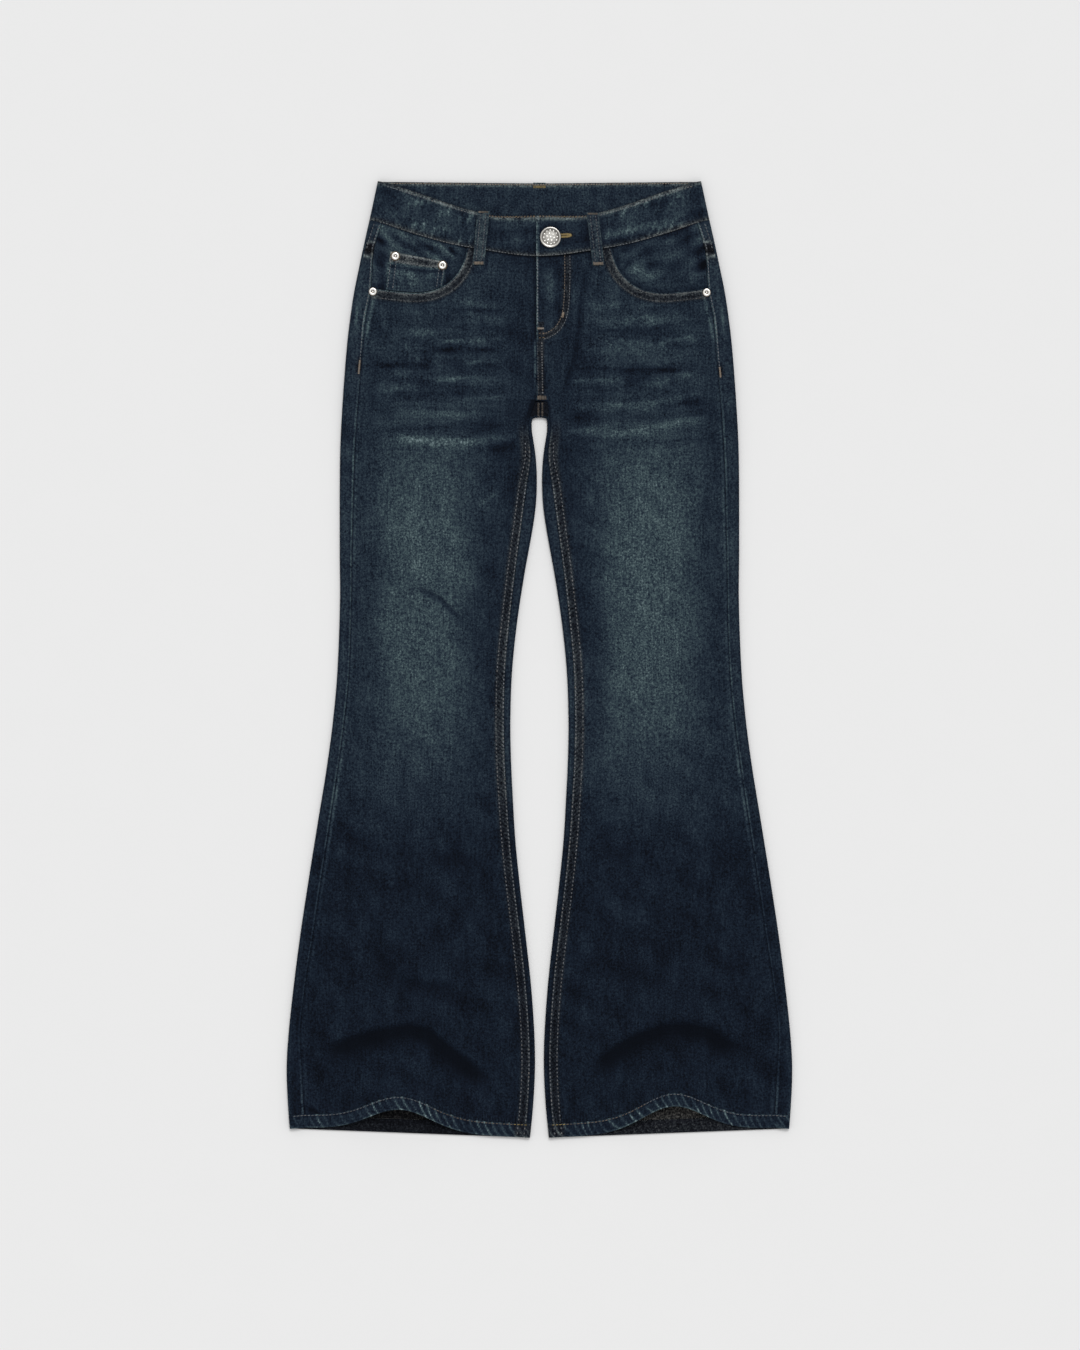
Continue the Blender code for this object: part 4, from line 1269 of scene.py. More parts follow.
@dataclass
class FrontPanel:
    """A front of one leg, from the waistband seam and the pocket opening down to the hem."""

    half: Half
    fell_width: float = 10.6
    fell_lift: float = 0.6
    fly_width: float = 34.0
    fly_bottom: tuple[float, float] = (165.0, 180.0)
    fly_lift: float = 0.7
    pocket_band: float = 9.4
    pocket_lift: float = 0.5
    top_x: tuple[float, ...] = (9.5, 12.5, 26, 46, 64, 81.5, 83.8, 87.5, 92.5, 99.5, 109, 121, 138, 160, 190)
    fell_shares: tuple[float, ...] = (0, 0.004, 0.008, 0.014, 0.02, 0.028, 0.035, 0.042, 0.047, 0.051, 0.056)
    hip_shares: tuple[float, ...] = (0, 0.2, 0.4, 0.55, 0.68, 0.75, 0.79, 0.82, 0.85, 0.88, 0.91, 0.935, 0.955, 0.975, 0.99, 1)

    def __post_init__(self) -> None:
        """Works out the panel's columns and rows."""
        panel = [0.056 + 0.944 * step / 13 for step in range(14)]
        self.shares = np.concatenate([self.fell_shares, split(panel, 6)[1:]])
        self.centre = self.half.value * CENTRE_FRONT + HALF_GAP
        self.inner, self.outer = self.straight_rows()
        self.fractions = split(self.hip_shares, [12, 12, 8, 7, 4, 2, 2, 1, 1, 1, 1, 1, 1, 1, 1])[1:]
        cad_shares = np.array([0, 0.042, *panel])
        self.top_edge_x = np.interp(self.shares, cad_shares, [self.centre, *self.top_x])

    def straight_rows(self) -> tuple[Array, Array]:
        """The inner and outer ends of the rows below the hip, from the hem up."""
        drops = np.linspace(LENGTH - HEM_DEPTH - GAP, CROTCH_DROP, 285)
        inner = LAY.inner_seam(drops)
        outer = LAY.side_seam(drops - LAY.hem_slant(drops))
        seam = [(x + HALF_GAP, drop) for x, drop in CROTCH_SEAM[self.half][:-1]]
        crotch = np.array([inner[-1], *seam, (self.centre, CROTCH_TOP_DROP)])
        steps = split(range(5), 4)[1:]
        bend = places(*(np.interp(steps, range(5), crotch[:, i]) for i in (0, 1)))
        side_drops = np.interp(steps, range(5), (CROTCH_DROP, *(row[4] for row in CROTCH_FOLD)))
        seat = np.linspace(0, 1, 46)[1:]
        seat_inner = places(self.centre, mix(CROTCH_TOP_DROP, SEAT_TOP_DROP, seat))
        seat_outer = LAY.side_seam(mix(CROTCH_FOLD[-1][4], SEAT_TOP_DROP, seat))
        return np.concatenate([inner, bend, seat_inner]), np.concatenate(
            [outer, LAY.side_seam(side_drops), seat_outer]
        )

    def inseam_x(self, drop: Array) -> Array:
        """x of the inseam, and above it of its way round to the crotch."""
        seam_x, seam_drops = zip(*CROTCH_SEAM[self.half][-2::-1])
        low = INNER_EDGE.read(drop) + INNER_EDGE.read(drop, 2)
        return np.where(drop > CROTCH_DROP, low, np.interp(drop, seam_drops, seam_x))

    def lift(self, x: Array, drop: Array) -> Array:
        """How proud the double-turned seams, the fly and the pocket's band stand."""
        to_inner = x - self.inseam_x(drop)
        fell = self.fell_lift * (1 - smooth_step(self.fell_width, self.fell_width + 3, to_inner))
        fell = fell * smooth_step(255, 290, drop)
        upper = np.zeros(np.shape(x))
        if self.half is Half.RIGHT:
            fly = (1 - smooth_step(self.fly_width - 3, self.fly_width + 3, x)) * (
                1 - smooth_step(*self.fly_bottom, drop)
            )
            centre = self.fell_lift * (1 - smooth_step(self.fell_width - 3, self.fell_width, x))
            upper = np.maximum(self.fly_lift * fly, centre)
        to_pocket = self.to_pocket(x, drop)
        pocket = self.pocket_lift * (1 - smooth_step(self.pocket_band - 1, self.pocket_band + 1.5, to_pocket))
        return np.where(drop > CROTCH_TOP_DROP, fell, upper) + pocket

    def to_pocket(self, x: Array, drop: Array) -> Array:
        """Distance from the pocket opening's edge."""
        near = (x > 60) & (drop < 160)
        result = np.full(np.shape(x), FAR)
        result[near] = np.abs(POCKET_LINE.measure(x[near], drop[near])[0])
        return result

    def point(self, x: Array, drop: Array, depth: Array) -> Array:
        """Points of the panel.

        Args:
            x: x of each place, outwards on this half.
            drop: Its drop, before the hem is drawn up.
            depth: 0 on the outer face, 1 on the inner one.

        Returns:
            Points of the scene.
        """
        signed = self.half.value * x
        height = LAY.top_height(signed, drop) + self.lift(x, drop) * (1 - depth) - depth * DENIM
        return world(np.stack([x, drop - LAY.hem_rise(signed, drop), height], axis=-1), self.half)

    def surface(self, x: Array, drop: Array) -> Array:
        """Points of the panel's outer face."""
        return self.point(np.asarray(x, float), np.asarray(drop, float), np.zeros(np.shape(x)))

    def facts(self, x: Array, drop: Array, to_outer: Array, to_band: Array) -> Facts:
        """What the finish reads.

        Args:
            x: x of each place, outwards on this half.
            drop: Its drop.
            to_outer: Its distance from the side seam.
            to_band: Its distance from the waistband's seam.

        Returns:
            The wear, light rims, shade and puckers.
        """
        signed = self.half.value * x
        below = drop > CROTCH_TOP_DROP
        to_inner = np.where(below, x - self.inseam_x(drop), x - self.centre)
        fell = smooth_step(262, 298, drop)
        to_pocket = self.to_pocket(x, drop)
        seam_side = drop > 130
        edge_light, start = {Half.LEFT: (0.4, -1.0), Half.RIGHT: (0.35, 0.6)}[self.half]
        rim = edge_light * smooth_step(start, start + 1.2, to_pocket) * (1 - smooth_step(1.2, 5.6, to_pocket))
        rim = (rim + 0.1 * peak((to_pocket - 9.8) / 1.2)) * smooth_step(80, 88, drop + to_pocket)
        rim = rim + SEAM_LIGHT.read(drop, 2) * peak((to_outer - 2.2) / 1.0)
        rim = rim + (0.34 * peak((to_inner - 1.4) / 1.5) + 0.12 * peak((to_inner - 9.2) / 1.5)) * fell
        pocket_band = smooth_step(0.5, 2, to_pocket) * (1 - smooth_step(9.5, 13.5, to_pocket))
        inseam_band = smooth_step(-0.5, 1.2, to_inner) * (1 - smooth_step(9, 13, to_inner)) * fell
        drab = 0.5 * pocket_band + 0.45 * inseam_band
        shade = 0.3 * smooth_step(4.5, 7, to_pocket) * (1 - smooth_step(7.6, 9, to_pocket))
        shade = shade + 0.28 * peak((to_pocket - 12.3) / 1.4) + 0.06 * inseam_band
        # Painted shadow beside the belt loops.
        shade = shade + 0.45 * beside_loop(signed, drop)
        # Painted shadow at the crotch, beside the panel's inner edge, deeper on the left half.
        crotch = {Half.LEFT: 0.85, Half.RIGHT: 0.6}[self.half] * (1 - smooth_step(248, 285, drop) ** 2)
        reach = {Half.LEFT: 5.0, Half.RIGHT: 1.5}[self.half]
        shade = shade + crotch * (1 - smooth_step(reach - 1.5, reach + 2.5, to_inner)) * below
        shade = shade + 0.4 * peak(to_outer / 1.6) * (0.5 + 0.5 * seam_side)
        # Painted shadow under the waistband's lower edge.
        shade = shade + 0.75 * (1 - smooth_step(0.8, 3.4, to_band))
        if self.half is Half.RIGHT:
            fly_edge = x - self.centre
            rim = rim + mix(1.0, 0.3, smooth_step(166, 184, drop)) * peak(fly_edge / 1.3) * ~below
            from_rows = np.abs(FLY_ROWS.measure(x, drop)[0])
            rows_band = (1 - smooth_step(3.0, 4.8, from_rows)) * (drop < 182)
            rim = rim + 0.2 * peak((x - 38.5) / 2.2) * peak((drop - 138) / 18) + 0.06 * rows_band
            worn = 0.21 * peak((x - 12) / 5.5) * peak((drop - 126) / 26) - 0.07 * peak((x - 21) / 4) * (drop < 165)
            seam = smooth_step(1.2, 2, fly_edge) * (1 - smooth_step(8.0, 9.0, fly_edge)) * (drop > 160) * ~below
            drab = drab + 0.5 * np.maximum(rows_band, seam)
            shade = shade + 0.12 * rows_band + 0.1 * seam
        else:
            worn = np.zeros(np.shape(x))
            rim = rim + 0.75 * peak((x - 4.9) / 1.2) * smooth_step(176, 186, drop) * (1 - smooth_step(215, 248, drop))
            # Painted shadow left of the fly's lapped edge.
            shade = shade + 0.6 * (1 - smooth_step(0, 6.5, x - self.centre)) * ~below
        # Painted shade in the creases.
        shade = np.clip(shade + LAY.crease_shade(signed, drop), 0, 0.85)
        hem = LENGTH - HEM_DEPTH - drop
        pucker = peak(to_inner / 9) * fell + 0.5 * peak(to_pocket / 8) + 0.4 * peak(to_outer / 7) * seam_side
        worn = worn - 0.06 * peak(to_band / 16) - 0.03 * peak(to_outer / 40) * (1 - smooth_step(520, 640, drop))
        worn = worn - 0.013 * bell((drop - 520) / 130) + 0.012 * bell((drop - 210) / 70)
        return {
            "wear": FADING.wear(signed, drop) + worn,
            "lap": FADING.lap(signed, drop),
            "rim": np.clip(rim, 0, 1),
            "shade": shade,
            "drab": np.clip(drab, 0, 1),
            "pucker": np.clip(pucker + 0.8 * peak(hem / 9), 0, 1),
            "along": np.where(hem < 14, x, drop + x * 0.2),
            "across": np.where(below, to_inner, to_pocket),
        }

    def place(self, column: Array, row: Array, depth: Array) -> tuple[Array, Facts]:
        """Where each vertex of the slab goes, and what the finish reads there."""
        last = len(self.inner) - 1
        low_row = np.minimum(row, last)
        share = self.shares[column]
        flat = between(self.inner[low_row], self.outer[low_row], share)
        fractions = np.concatenate([[0], self.fractions])
        fraction = fractions[np.maximum(row - last, 0)]
        edge_x = self.top_edge_x
        edge_drop = np.where(edge_x < POCKET_START, BAND_BOTTOM_EDGE.read(np.abs(edge_x)), POCKET_EDGE.read(edge_x))
        top = places(edge_x, edge_drop + GAP)
        top[-1] = LAY.side_seam(np.array([HIP_SIDE_DROP]))[0]
        flat = np.where((fraction > 0)[:, None], between(flat, top[column], fraction), flat)
        outermost = (column == len(self.shares) - 1) & (fraction > 0)
        sides = LAY.side_seam(mix(SEAT_TOP_DROP, HIP_SIDE_DROP, fraction))
        flat = np.where(outermost[:, None], sides, flat)
        x, drop = flat[:, 0], flat[:, 1]
        to_outer = (1 - share) * np.hypot(*(self.outer[low_row] - self.inner[low_row]).T)
        to_band = np.where(x < POCKET_START, drop - BAND_BOTTOM_EDGE.read(np.abs(x)), FAR)
        points = self.point(x, drop, depth)
        cut = np.minimum(self.to_pocket(x, drop), FAR)
        if self.half is Half.RIGHT:
            cut = np.minimum(cut, np.where(drop < CROTCH_TOP_DROP, x - self.centre, FAR))
        points[:, 2] -= softened(cut, depth) * MM
        return points, self.facts(x, drop, to_outer, to_band)

    def leg_line(self, inset: float, top: float, bottom: float, outer: bool = False) -> Array:
        """Places a set distance in from the inseam's or the side seam's join.

        Args:
            inset: The distance.
            top: The first drop.
            bottom: The last drop.
            outer: Whether to follow the side seam.

        Returns:
            The places, as fold drops.
        """
        drops = np.linspace(top, bottom, max(int((bottom - top) / 6), 3))
        seam = LAY.side_seam if outer else LAY.inner_seam
        return seam(drops - LAY.hem_slant(drops) if outer else drops, inset)

    def pocket_rows(self, inset: float) -> Array:
        """Places along the pocket opening, a set distance in from its edge."""
        x = np.concatenate([np.arange(81.5, 96, 1.5), np.arange(97, 184, 3)])
        edge = places(x, POCKET_EDGE.read(x))
        run = np.gradient(edge, axis=0)
        run /= np.hypot(*run.T)[:, None]
        row = edge + places(-run[:, 1], run[:, 0]) * inset
        return row[row[:, 1] > BAND_BOTTOM_EDGE.read(row[:, 0]) + 1]

    def sew(self) -> Object:
        """The panel's stitches."""
        needle = Needle(f"thread_front_{self.half.word}", self.surface)
        bottom = LENGTH - HEM_DEPTH - 1.5
        seam = {"pitch": 4.4, "length": 2.4, "radius": 0.75}
        rows = ((298, 338, 1.3, -0.15), (342, 640, 1.3, 0.3), (642, bottom, 1.3, 0.12), (560, bottom, 9.3, -0.08))
        for top, low, inset, age in rows:
            needle.sew(self.leg_line(inset, top, low), thread=Thread.GREY, age=age, **seam)
        narrow = LAY.inner_seam(np.linspace(294, 556, 40), 0.0)
        inset = np.interp(np.linspace(294, 556, 40), (294, 345, 470, 556), (5.0, 8.6, 8.8, 9.3))
        needle.sew(narrow + places(inset, 0 * inset), thread=Thread.GREY, age=0.05, **seam)
        for inset, age in {Half.LEFT: ((2.4, 0.0), (9.8, -0.12)), Half.RIGHT: ((2.6, -0.15), (9.8, -0.4))}[self.half]:
            needle.sew(self.pocket_rows(inset), thread=Thread.GREY, age=age, pitch=3.5, length=2.7)
        if self.half is Half.RIGHT:
            self.sew_fly(needle)
        return needle.build()

    def sew_fly(self, needle: Needle) -> None:
        """The fly's J-shaped rows, its tacks and the seam below it."""
        smooth = Curve(tuple((i, *p) for i, p in enumerate(FLY_ROWS.points)))
        steps = np.linspace(0, len(FLY_ROWS.points) - 1, 60)
        middle = places(smooth.read(steps, 1), smooth.read(steps, 2))
        run = np.gradient(middle, axis=0)
        aside = places(run[:, 1], -run[:, 0]) / np.hypot(*run.T)[:, None] * FLY_ROWS_APART
        needle.sew(middle + aside, thread=Thread.GREY, age=0.25, pitch=3.2, length=2.4)
        needle.sew(middle - aside, thread=Thread.TAN, age=0.2, pitch=3.2, length=2.4)
        tack = {"crosswise": True, "pitch": 0.72, "radius": 0.42, "length": 2.6, "age": 0.9}
        needle.sew([(27.0, 148.5), (26.0, 154.5)], thread=Thread.TAN, **(tack | {"age": 1.4}))
        needle.sew([(-2.4, 166.8), (5.0, 166.8)], thread=Thread.TAN, **tack)
        for drop in (172.5, 177.5):
            needle.sew([(-1.5, drop), (6.5, drop - 0.5)], thread=Thread.BROWN, age=0.1, pitch=3.2, length=2.4)
        needle.sew([(-2.4, 245), (7.6, 245)], thread=Thread.TAN, **(tack | {"length": 5.2, "age": -0.3}))
        needle.sew([(-2.0, 182), (-1.4, 241)], thread=Thread.GREY, age=-0.25, pitch=3.1, length=2.3)
        needle.sew([(2.6, 182), (3.6, 241)], thread=Thread.GREY, age=-0.05, pitch=3.1, length=2.2, radius=0.9)
        needle.sew([(-2.0, 88), (-2.0, 162)], thread=Thread.GREY, age=0.9, pitch=3.4, length=2.6, radius=0.5)

    def build(self) -> None:
        """Builds and dresses the panel."""
        rows = len(self.inner) - 1 + len(self.fractions)
        piece = bend_slab(f"denim_front_{self.half.word}", len(self.shares) - 1, rows, self.place)
        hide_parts(f"front_{self.half.word}")
        thread = self.sew()


@dataclass
class BackPanel:
    """A back of one leg. It is the underside, and laps round both folds onto the top."""

    half: Half
    lap_parts: int = 9
    arc_parts: int = 10
    bottom_parts: int = 34

    def __post_init__(self) -> None:
        """Works out the panel's columns and rows."""
        self.arc = np.linspace(90, -90, self.arc_parts + 1)
        self.first_arc = self.lap_parts
        self.first_bottom = self.first_arc + self.arc_parts
        self.first_inner = self.first_bottom + self.bottom_parts
        self.last = self.first_inner + self.arc_parts + 3
        drops = np.linspace(LENGTH - HEM_DEPTH - GAP, CROTCH_DROP, 285)
        foot, inward = LAY.fold_foot(INNER_EDGE, drops, 1)
        seam = LAY.inner_seam(drops, -HALF_GAP)
        crotch = [
            (*fold[:4], max(x - HALF_GAP, HALF_GAP), drop + GAP, fold[4])
            for fold, (x, drop) in zip(CROTCH_FOLD, CROTCH_SEAM[self.half])
        ]
        crotch = np.array([(*foot[-1], *inward[-1], *seam[-1], CROTCH_DROP), *crotch])
        steps = split(range(5), 4)[1:]
        bend = np.stack([np.interp(steps, range(5), crotch[:, i]) for i in range(7)], axis=-1)
        self.crotch_row = len(drops) + len(steps) - 1
        upper = np.linspace(0, 1, 60)[1:]
        side_upper = mix(CROTCH_FOLD[-1][4], 78.0 + HALF_GAP, upper)
        centre_upper = mix(CROTCH_FOLD[-1][1] - LAY.fold_radius, 108.0 + HALF_GAP, upper)
        none = places(np.zeros(len(upper)), 0)
        self.side_drop = np.concatenate([drops - LAY.hem_slant(drops), bend[:, 6], side_upper])
        self.foot = np.concatenate([foot, bend[:, 0:2], places(HALF_GAP, centre_upper)])
        self.inward = np.concatenate([inward, bend[:, 2:4], none])
        self.seam = np.concatenate([seam, bend[:, 4:6], none])

    def side_wrap(self, column: Array, drop: Array, depth: Array) -> tuple[Array, Array]:
        """The columns that lap over the side fold: the strip on top, then the rounding.

        Args:
            column: The column of each place.
            drop: The fold's drop.
            depth: 0 outside, 1 inside.

        Returns:
            The places as (x, drop, z), and how far in from the fold each lies on top.
        """
        foot, inward = LAY.fold_foot(SIDE_EDGE, drop, -1)
        lap = SIDE_EDGE.read(drop, 2) - HALF_GAP
        reach = mix(lap, LAY.fold_radius, np.clip(column / self.lap_parts, 0, 1))
        strip = foot + inward * reach[:, None]
        height = LAY.top_height(self.half.value * strip[:, 0], strip[:, 1])
        on_top = np.concatenate([strip, (height - depth * DENIM)[:, None]], axis=-1)
        angle = self.arc[np.clip(column - self.first_arc, 0, self.arc_parts)]
        rounded = LAY.round_fold(foot, inward, angle, depth * DENIM, height, LAY.fold_radius)
        return np.where((column < self.first_arc)[:, None], on_top, rounded), reach

    def inner_wrap(self, column: Array, row: Array, depth: Array) -> Array:
        """The columns that turn up over the inner fold, as (x, drop, z)."""
        foot, inward = self.foot[row], self.inward[row]
        place = foot + inward * LAY.fold_radius
        height = LAY.top_height(self.half.value * place[:, 0], place[:, 1])
        angle = self.arc[::-1][np.clip(column - self.first_inner, 0, self.arc_parts)]
        rounded = LAY.round_fold(foot, inward, angle, depth * DENIM, height, LAY.fold_radius)
        rounded[:, 0] = np.maximum(rounded[:, 0], HALF_GAP)
        strip = between(place, self.seam[row], np.clip((column - self.first_inner - self.arc_parts) / 3, 0, 1))
        top = LAY.top_height(self.half.value * strip[:, 0], strip[:, 1]) - depth * DENIM
        on_top = np.concatenate([strip, top[:, None]], axis=-1)
        return np.where((column > self.first_inner + self.arc_parts)[:, None], on_top, rounded)

    def bottom(self, column: Array, row: Array, depth: Array) -> Array:
        """The columns of the underside, as (x, drop, z)."""
        foot, inward = LAY.fold_foot(SIDE_EDGE, self.side_drop[row], -1)
        start = foot + inward * LAY.fold_radius
        end = self.foot[row] + self.inward[row] * LAY.fold_radius
        end[:, 0] = np.maximum(end[:, 0], HALF_GAP)
        flat = between(start, end, np.clip((column - self.first_bottom) / self.bottom_parts, 0, 1))
        height = LAY.underside(flat[:, 0], flat[:, 1]) + depth * DENIM
        return np.concatenate([flat, height[:, None]], axis=-1)

    def place(self, column: Array, row: Array, depth: Array) -> tuple[Array, Facts]:
        """Where each vertex of the slab goes, and what the finish reads there."""
        wrapped, reach = self.side_wrap(column, self.side_drop[row], depth)
        under = self.bottom(column, row, depth)
        points = np.where((column > self.first_bottom)[:, None], under, wrapped)
        inner = (column > self.first_inner) & (row <= self.crotch_row)
        points = np.where(inner[:, None], self.inner_wrap(column, row, depth), points)
        return world(points, self.half), self.facts(points, column, row, depth, reach)

    def facts(self, points: Array, column: Array, row: Array, depth: Array, reach: Array) -> Facts:
        """What the finish reads.

        Args:
            points: The places, as (x, drop, z).
            column: The column of each.
            row: The row of each.
            depth: 0 outside, 1 inside.
            reach: How far in from the side fold each lies on top.

        Returns:
            The wear, light rims, shade and puckers.
        """
        x, drop = points[:, 0], points[:, 1]
        signed = self.half.value * x
        on_strip = column <= self.first_arc
        on_inner = column >= self.first_inner + self.arc_parts
        from_seam = np.where(on_strip, SIDE_EDGE.read(self.side_drop[row], 2) - reach, FAR)
        faint = {Half.LEFT: 0.0, Half.RIGHT: 0.5}[self.half] * bell((drop - 385) / 120)
        rim = SEAM_LIGHT.read(drop) * (1 - faint) * peak((from_seam - 1.3) / 1.0)
        at_fold = peak((column - self.first_arc - 3) / 2.4) * (column < self.first_bottom)
        low = smooth_step(1010, 1060, drop)
        rim = rim + 0.3 * low * at_fold + 0.4 * peak((reach - 7) / 1.6) * peak((drop - 155) / 22) * on_strip
        crotch = (x < 10) & (drop < 270) & on_inner
        lap_light = 0.07 * on_inner * smooth_step(330, 370, drop) * (1 - smooth_step(700, 760, drop))
        tack = smooth_step(69.5, 71, drop) * (1 - smooth_step(82.5, 84, drop)) * on_strip
        rim = rim + 0.8 * (peak((drop - 69.6) / 1.3) + peak((drop - 84.6) / 1.3)) * on_strip
        # The last term is painted shade on the fold's rounded edge, above the hem.
        shade = 0.4 * peak((from_seam - 2.4) / 1.3) + 0.6 * tack + 0.25 * (1 - low) * at_fold
        # Darkened at the crotch: painted shadow, over the olive seam strip that drab marks there.
        shade = shade + {Half.LEFT: 0.65, Half.RIGHT: 0.6}[self.half] * crotch
        start, end = SIDE_TACKS[self.half]
        side_tack = peak(2 * (drop - mix(start, end, 0.5)) / (end - start)) * peak((from_seam - 1.5) / 3.5)
        shade = shade + 0.9 * side_tack
        to_join = LAY.inner_seam(drop, 0.0)[:, 0] - x
        shade = shade + 0.3 * peak((to_join - 1.2) / 1.2) * on_inner * (drop > 290)
        under = (column > self.first_bottom) & (column < self.first_inner)
        # Painted shade in the creases, on the upper layer only.
        shade = shade + np.where(under, 0.0, LAY.crease_shade(signed, drop))
        plain = FADING.tone(41) + 0.10 * bell((drop - 420) / 330) * bell((x - 120) / 105)
        plain = plain - 0.13 * smooth_step(640, 800, drop) + 0.02 * unevenness(x, drop, 60, 21)
        inside = under & (depth > 0.5)
        wrong_side = FADING.tone({Half.LEFT: 27, Half.RIGHT: 46}[self.half])
        return {
            "wear": np.where(inside, wrong_side, np.where(under, plain, FADING.wear(signed, drop) + lap_light)),
            "drab": 0.9 * inside + 0.5 * crotch + 0.6 * side_tack + 0.75 * peak((drop - 77.5) / 9) * on_strip,
            "rim": np.clip(rim, 0, 1),
            "shade": np.clip(shade, 0, 0.85),
            "pucker": 0.4 * peak(from_seam / 7) + 0.3 * on_inner,
            "along": drop,
            "across": np.where(on_strip, from_seam, 0),
        }

    def strip_surface(self, x: Array, drop: Array) -> Array:
        """Points on top of the lapped strips."""
        height = LAY.top_height(self.half.value * x, drop)
        return world(np.stack([x, drop, height], axis=-1), self.half)

    def under_surface(self, x: Array, drop: Array) -> Array:
        """Points of the underside."""
        return world(np.stack([x, drop, LAY.underside(x, drop)], axis=-1), self.half)

    def build(self) -> None:
        """Builds and dresses the panel."""

        def left_out(column: float, row: float) -> bool:
            return column > self.first_inner and row > self.crotch_row

        rows = len(self.side_drop) - 1
        piece = bend_slab(f"denim_back_{self.half.word}", self.last, rows, self.place, left_out)
        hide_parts(f"back_{self.half.word}")
        top = Needle(f"thread_side_{self.half.word}", self.strip_surface)
        drops = np.linspace(84, SIDE_TACKS[self.half][0], 30)
        top.sew(LAY.side_seam(drops, -2.0), thread=Thread.GREY, age=0.3, pitch=3.6, length=2.8)
        side = {Half.LEFT: 1.2, Half.RIGHT: 3.2}[self.half]
        top.sew([(side, 250.5), (side, 266)], thread=Thread.TAN, crosswise=True, pitch=0.9, length=2.4, age=-0.4)
        tack = LAY.side_seam(np.linspace(*SIDE_TACKS[self.half], 4), -2.2)
        light = 0.45 if self.half is Half.LEFT else 1.0
        top.sew(tack, thread=Thread.TAN, crosswise=True, pitch=0.75, length=2.2, age=light)
        under = Needle(f"thread_seat_{self.half.word}", self.under_surface, Layer.LOWER)
        if self.half is Half.RIGHT:
            for x in (2.0, 8.2):
                under.sew([(x, 112), (x, 250)], thread=Thread.TAN)
        for offset in (2.0, 8.2):
            run = [(x, mix(108, 78, x / 199) + offset) for x in np.linspace(2, 192, 40)]
            under.sew(run, thread=Thread.TAN)
        threads = [top.build(), under.build()]


@dataclass
class Yoke:
    """A half of the back yoke, with its end lapped over the side fold onto the top."""

    half: Half
    rows: int = 16

    def __post_init__(self) -> None:
        """Borrows the back panel's way round the side fold."""
        self.back = BackPanel(self.half)

    def place(self, column: Array, row: Array, depth: Array) -> tuple[Array, Facts]:
        """Where each vertex of the slab goes, and what the finish reads there."""
        share = row / self.rows
        side_drop = mix(78.0 - HALF_GAP, 44.2 + GAP, share)
        wrapped, reach = self.back.side_wrap(column, side_drop, depth)
        foot, inward = LAY.fold_foot(SIDE_EDGE, side_drop, -1)
        start = foot + inward * LAY.fold_radius
        end = places(HALF_GAP, mix(108.0 - HALF_GAP, 46.3 + GAP, share))
        first = self.back.first_bottom
        flat = between(start, end, np.clip((column - first) / self.back.bottom_parts, 0, 1))
        under = np.concatenate([flat, (LAY.underside(*flat.T) + depth * DENIM)[:, None]], axis=-1)
        points = np.where((column > first)[:, None], under, wrapped)
        from_seam = np.where(column <= self.back.first_arc, SIDE_EDGE.read(side_drop, 2) - reach, FAR)
        up = (1 - share) * 36
        band = 36 * share
        tack = smooth_step(69.5, 71, points[:, 1]) * (from_seam < FAR)
        # peak(up / 2.5) is painted shadow under the waistband, along the yoke's top edge.
        shade = 0.7 * tack + 0.5 * peak(up / 2.5)
        rim = 0.8 * peak((points[:, 1] - 69.6) / 1.3) * (from_seam < FAR) + 0.5 * peak((from_seam - 1.3) / 1.0)
        signed = self.half.value * points[:, 0]
        return world(points, self.half), {
            "wear": FADING.wear(signed, points[:, 1]),
            "rim": np.clip(rim, 0, 1),
            "shade": np.clip(shade + 0.35 * peak((from_seam - 2.4) / 1.3), 0, 0.8),
            "drab": 0.75 * peak((points[:, 1] - 77.5) / 9) * (from_seam < FAR),
            "pucker": 0.6 * peak(band / 9),
            "along": points[:, 0],
            "across": band,
        }

    def build(self) -> None:
        """Builds and dresses the yoke."""
        piece = bend_slab(f"denim_yoke_{self.half.word}", self.back.first_inner, self.rows, self.place)
        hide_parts(f"yoke_{self.half.word}")
        top = Needle(f"thread_yoke_{self.half.word}", self.back.strip_surface)
        for past, age in ((-2.0, 0.55), (-8.0, 0.2)):
            run = LAY.side_seam(np.linspace(47, 76, 8), past)
            top.sew(run, thread=Thread.GREY, age=age, pitch=3.6, length=2.8)
        top.build()


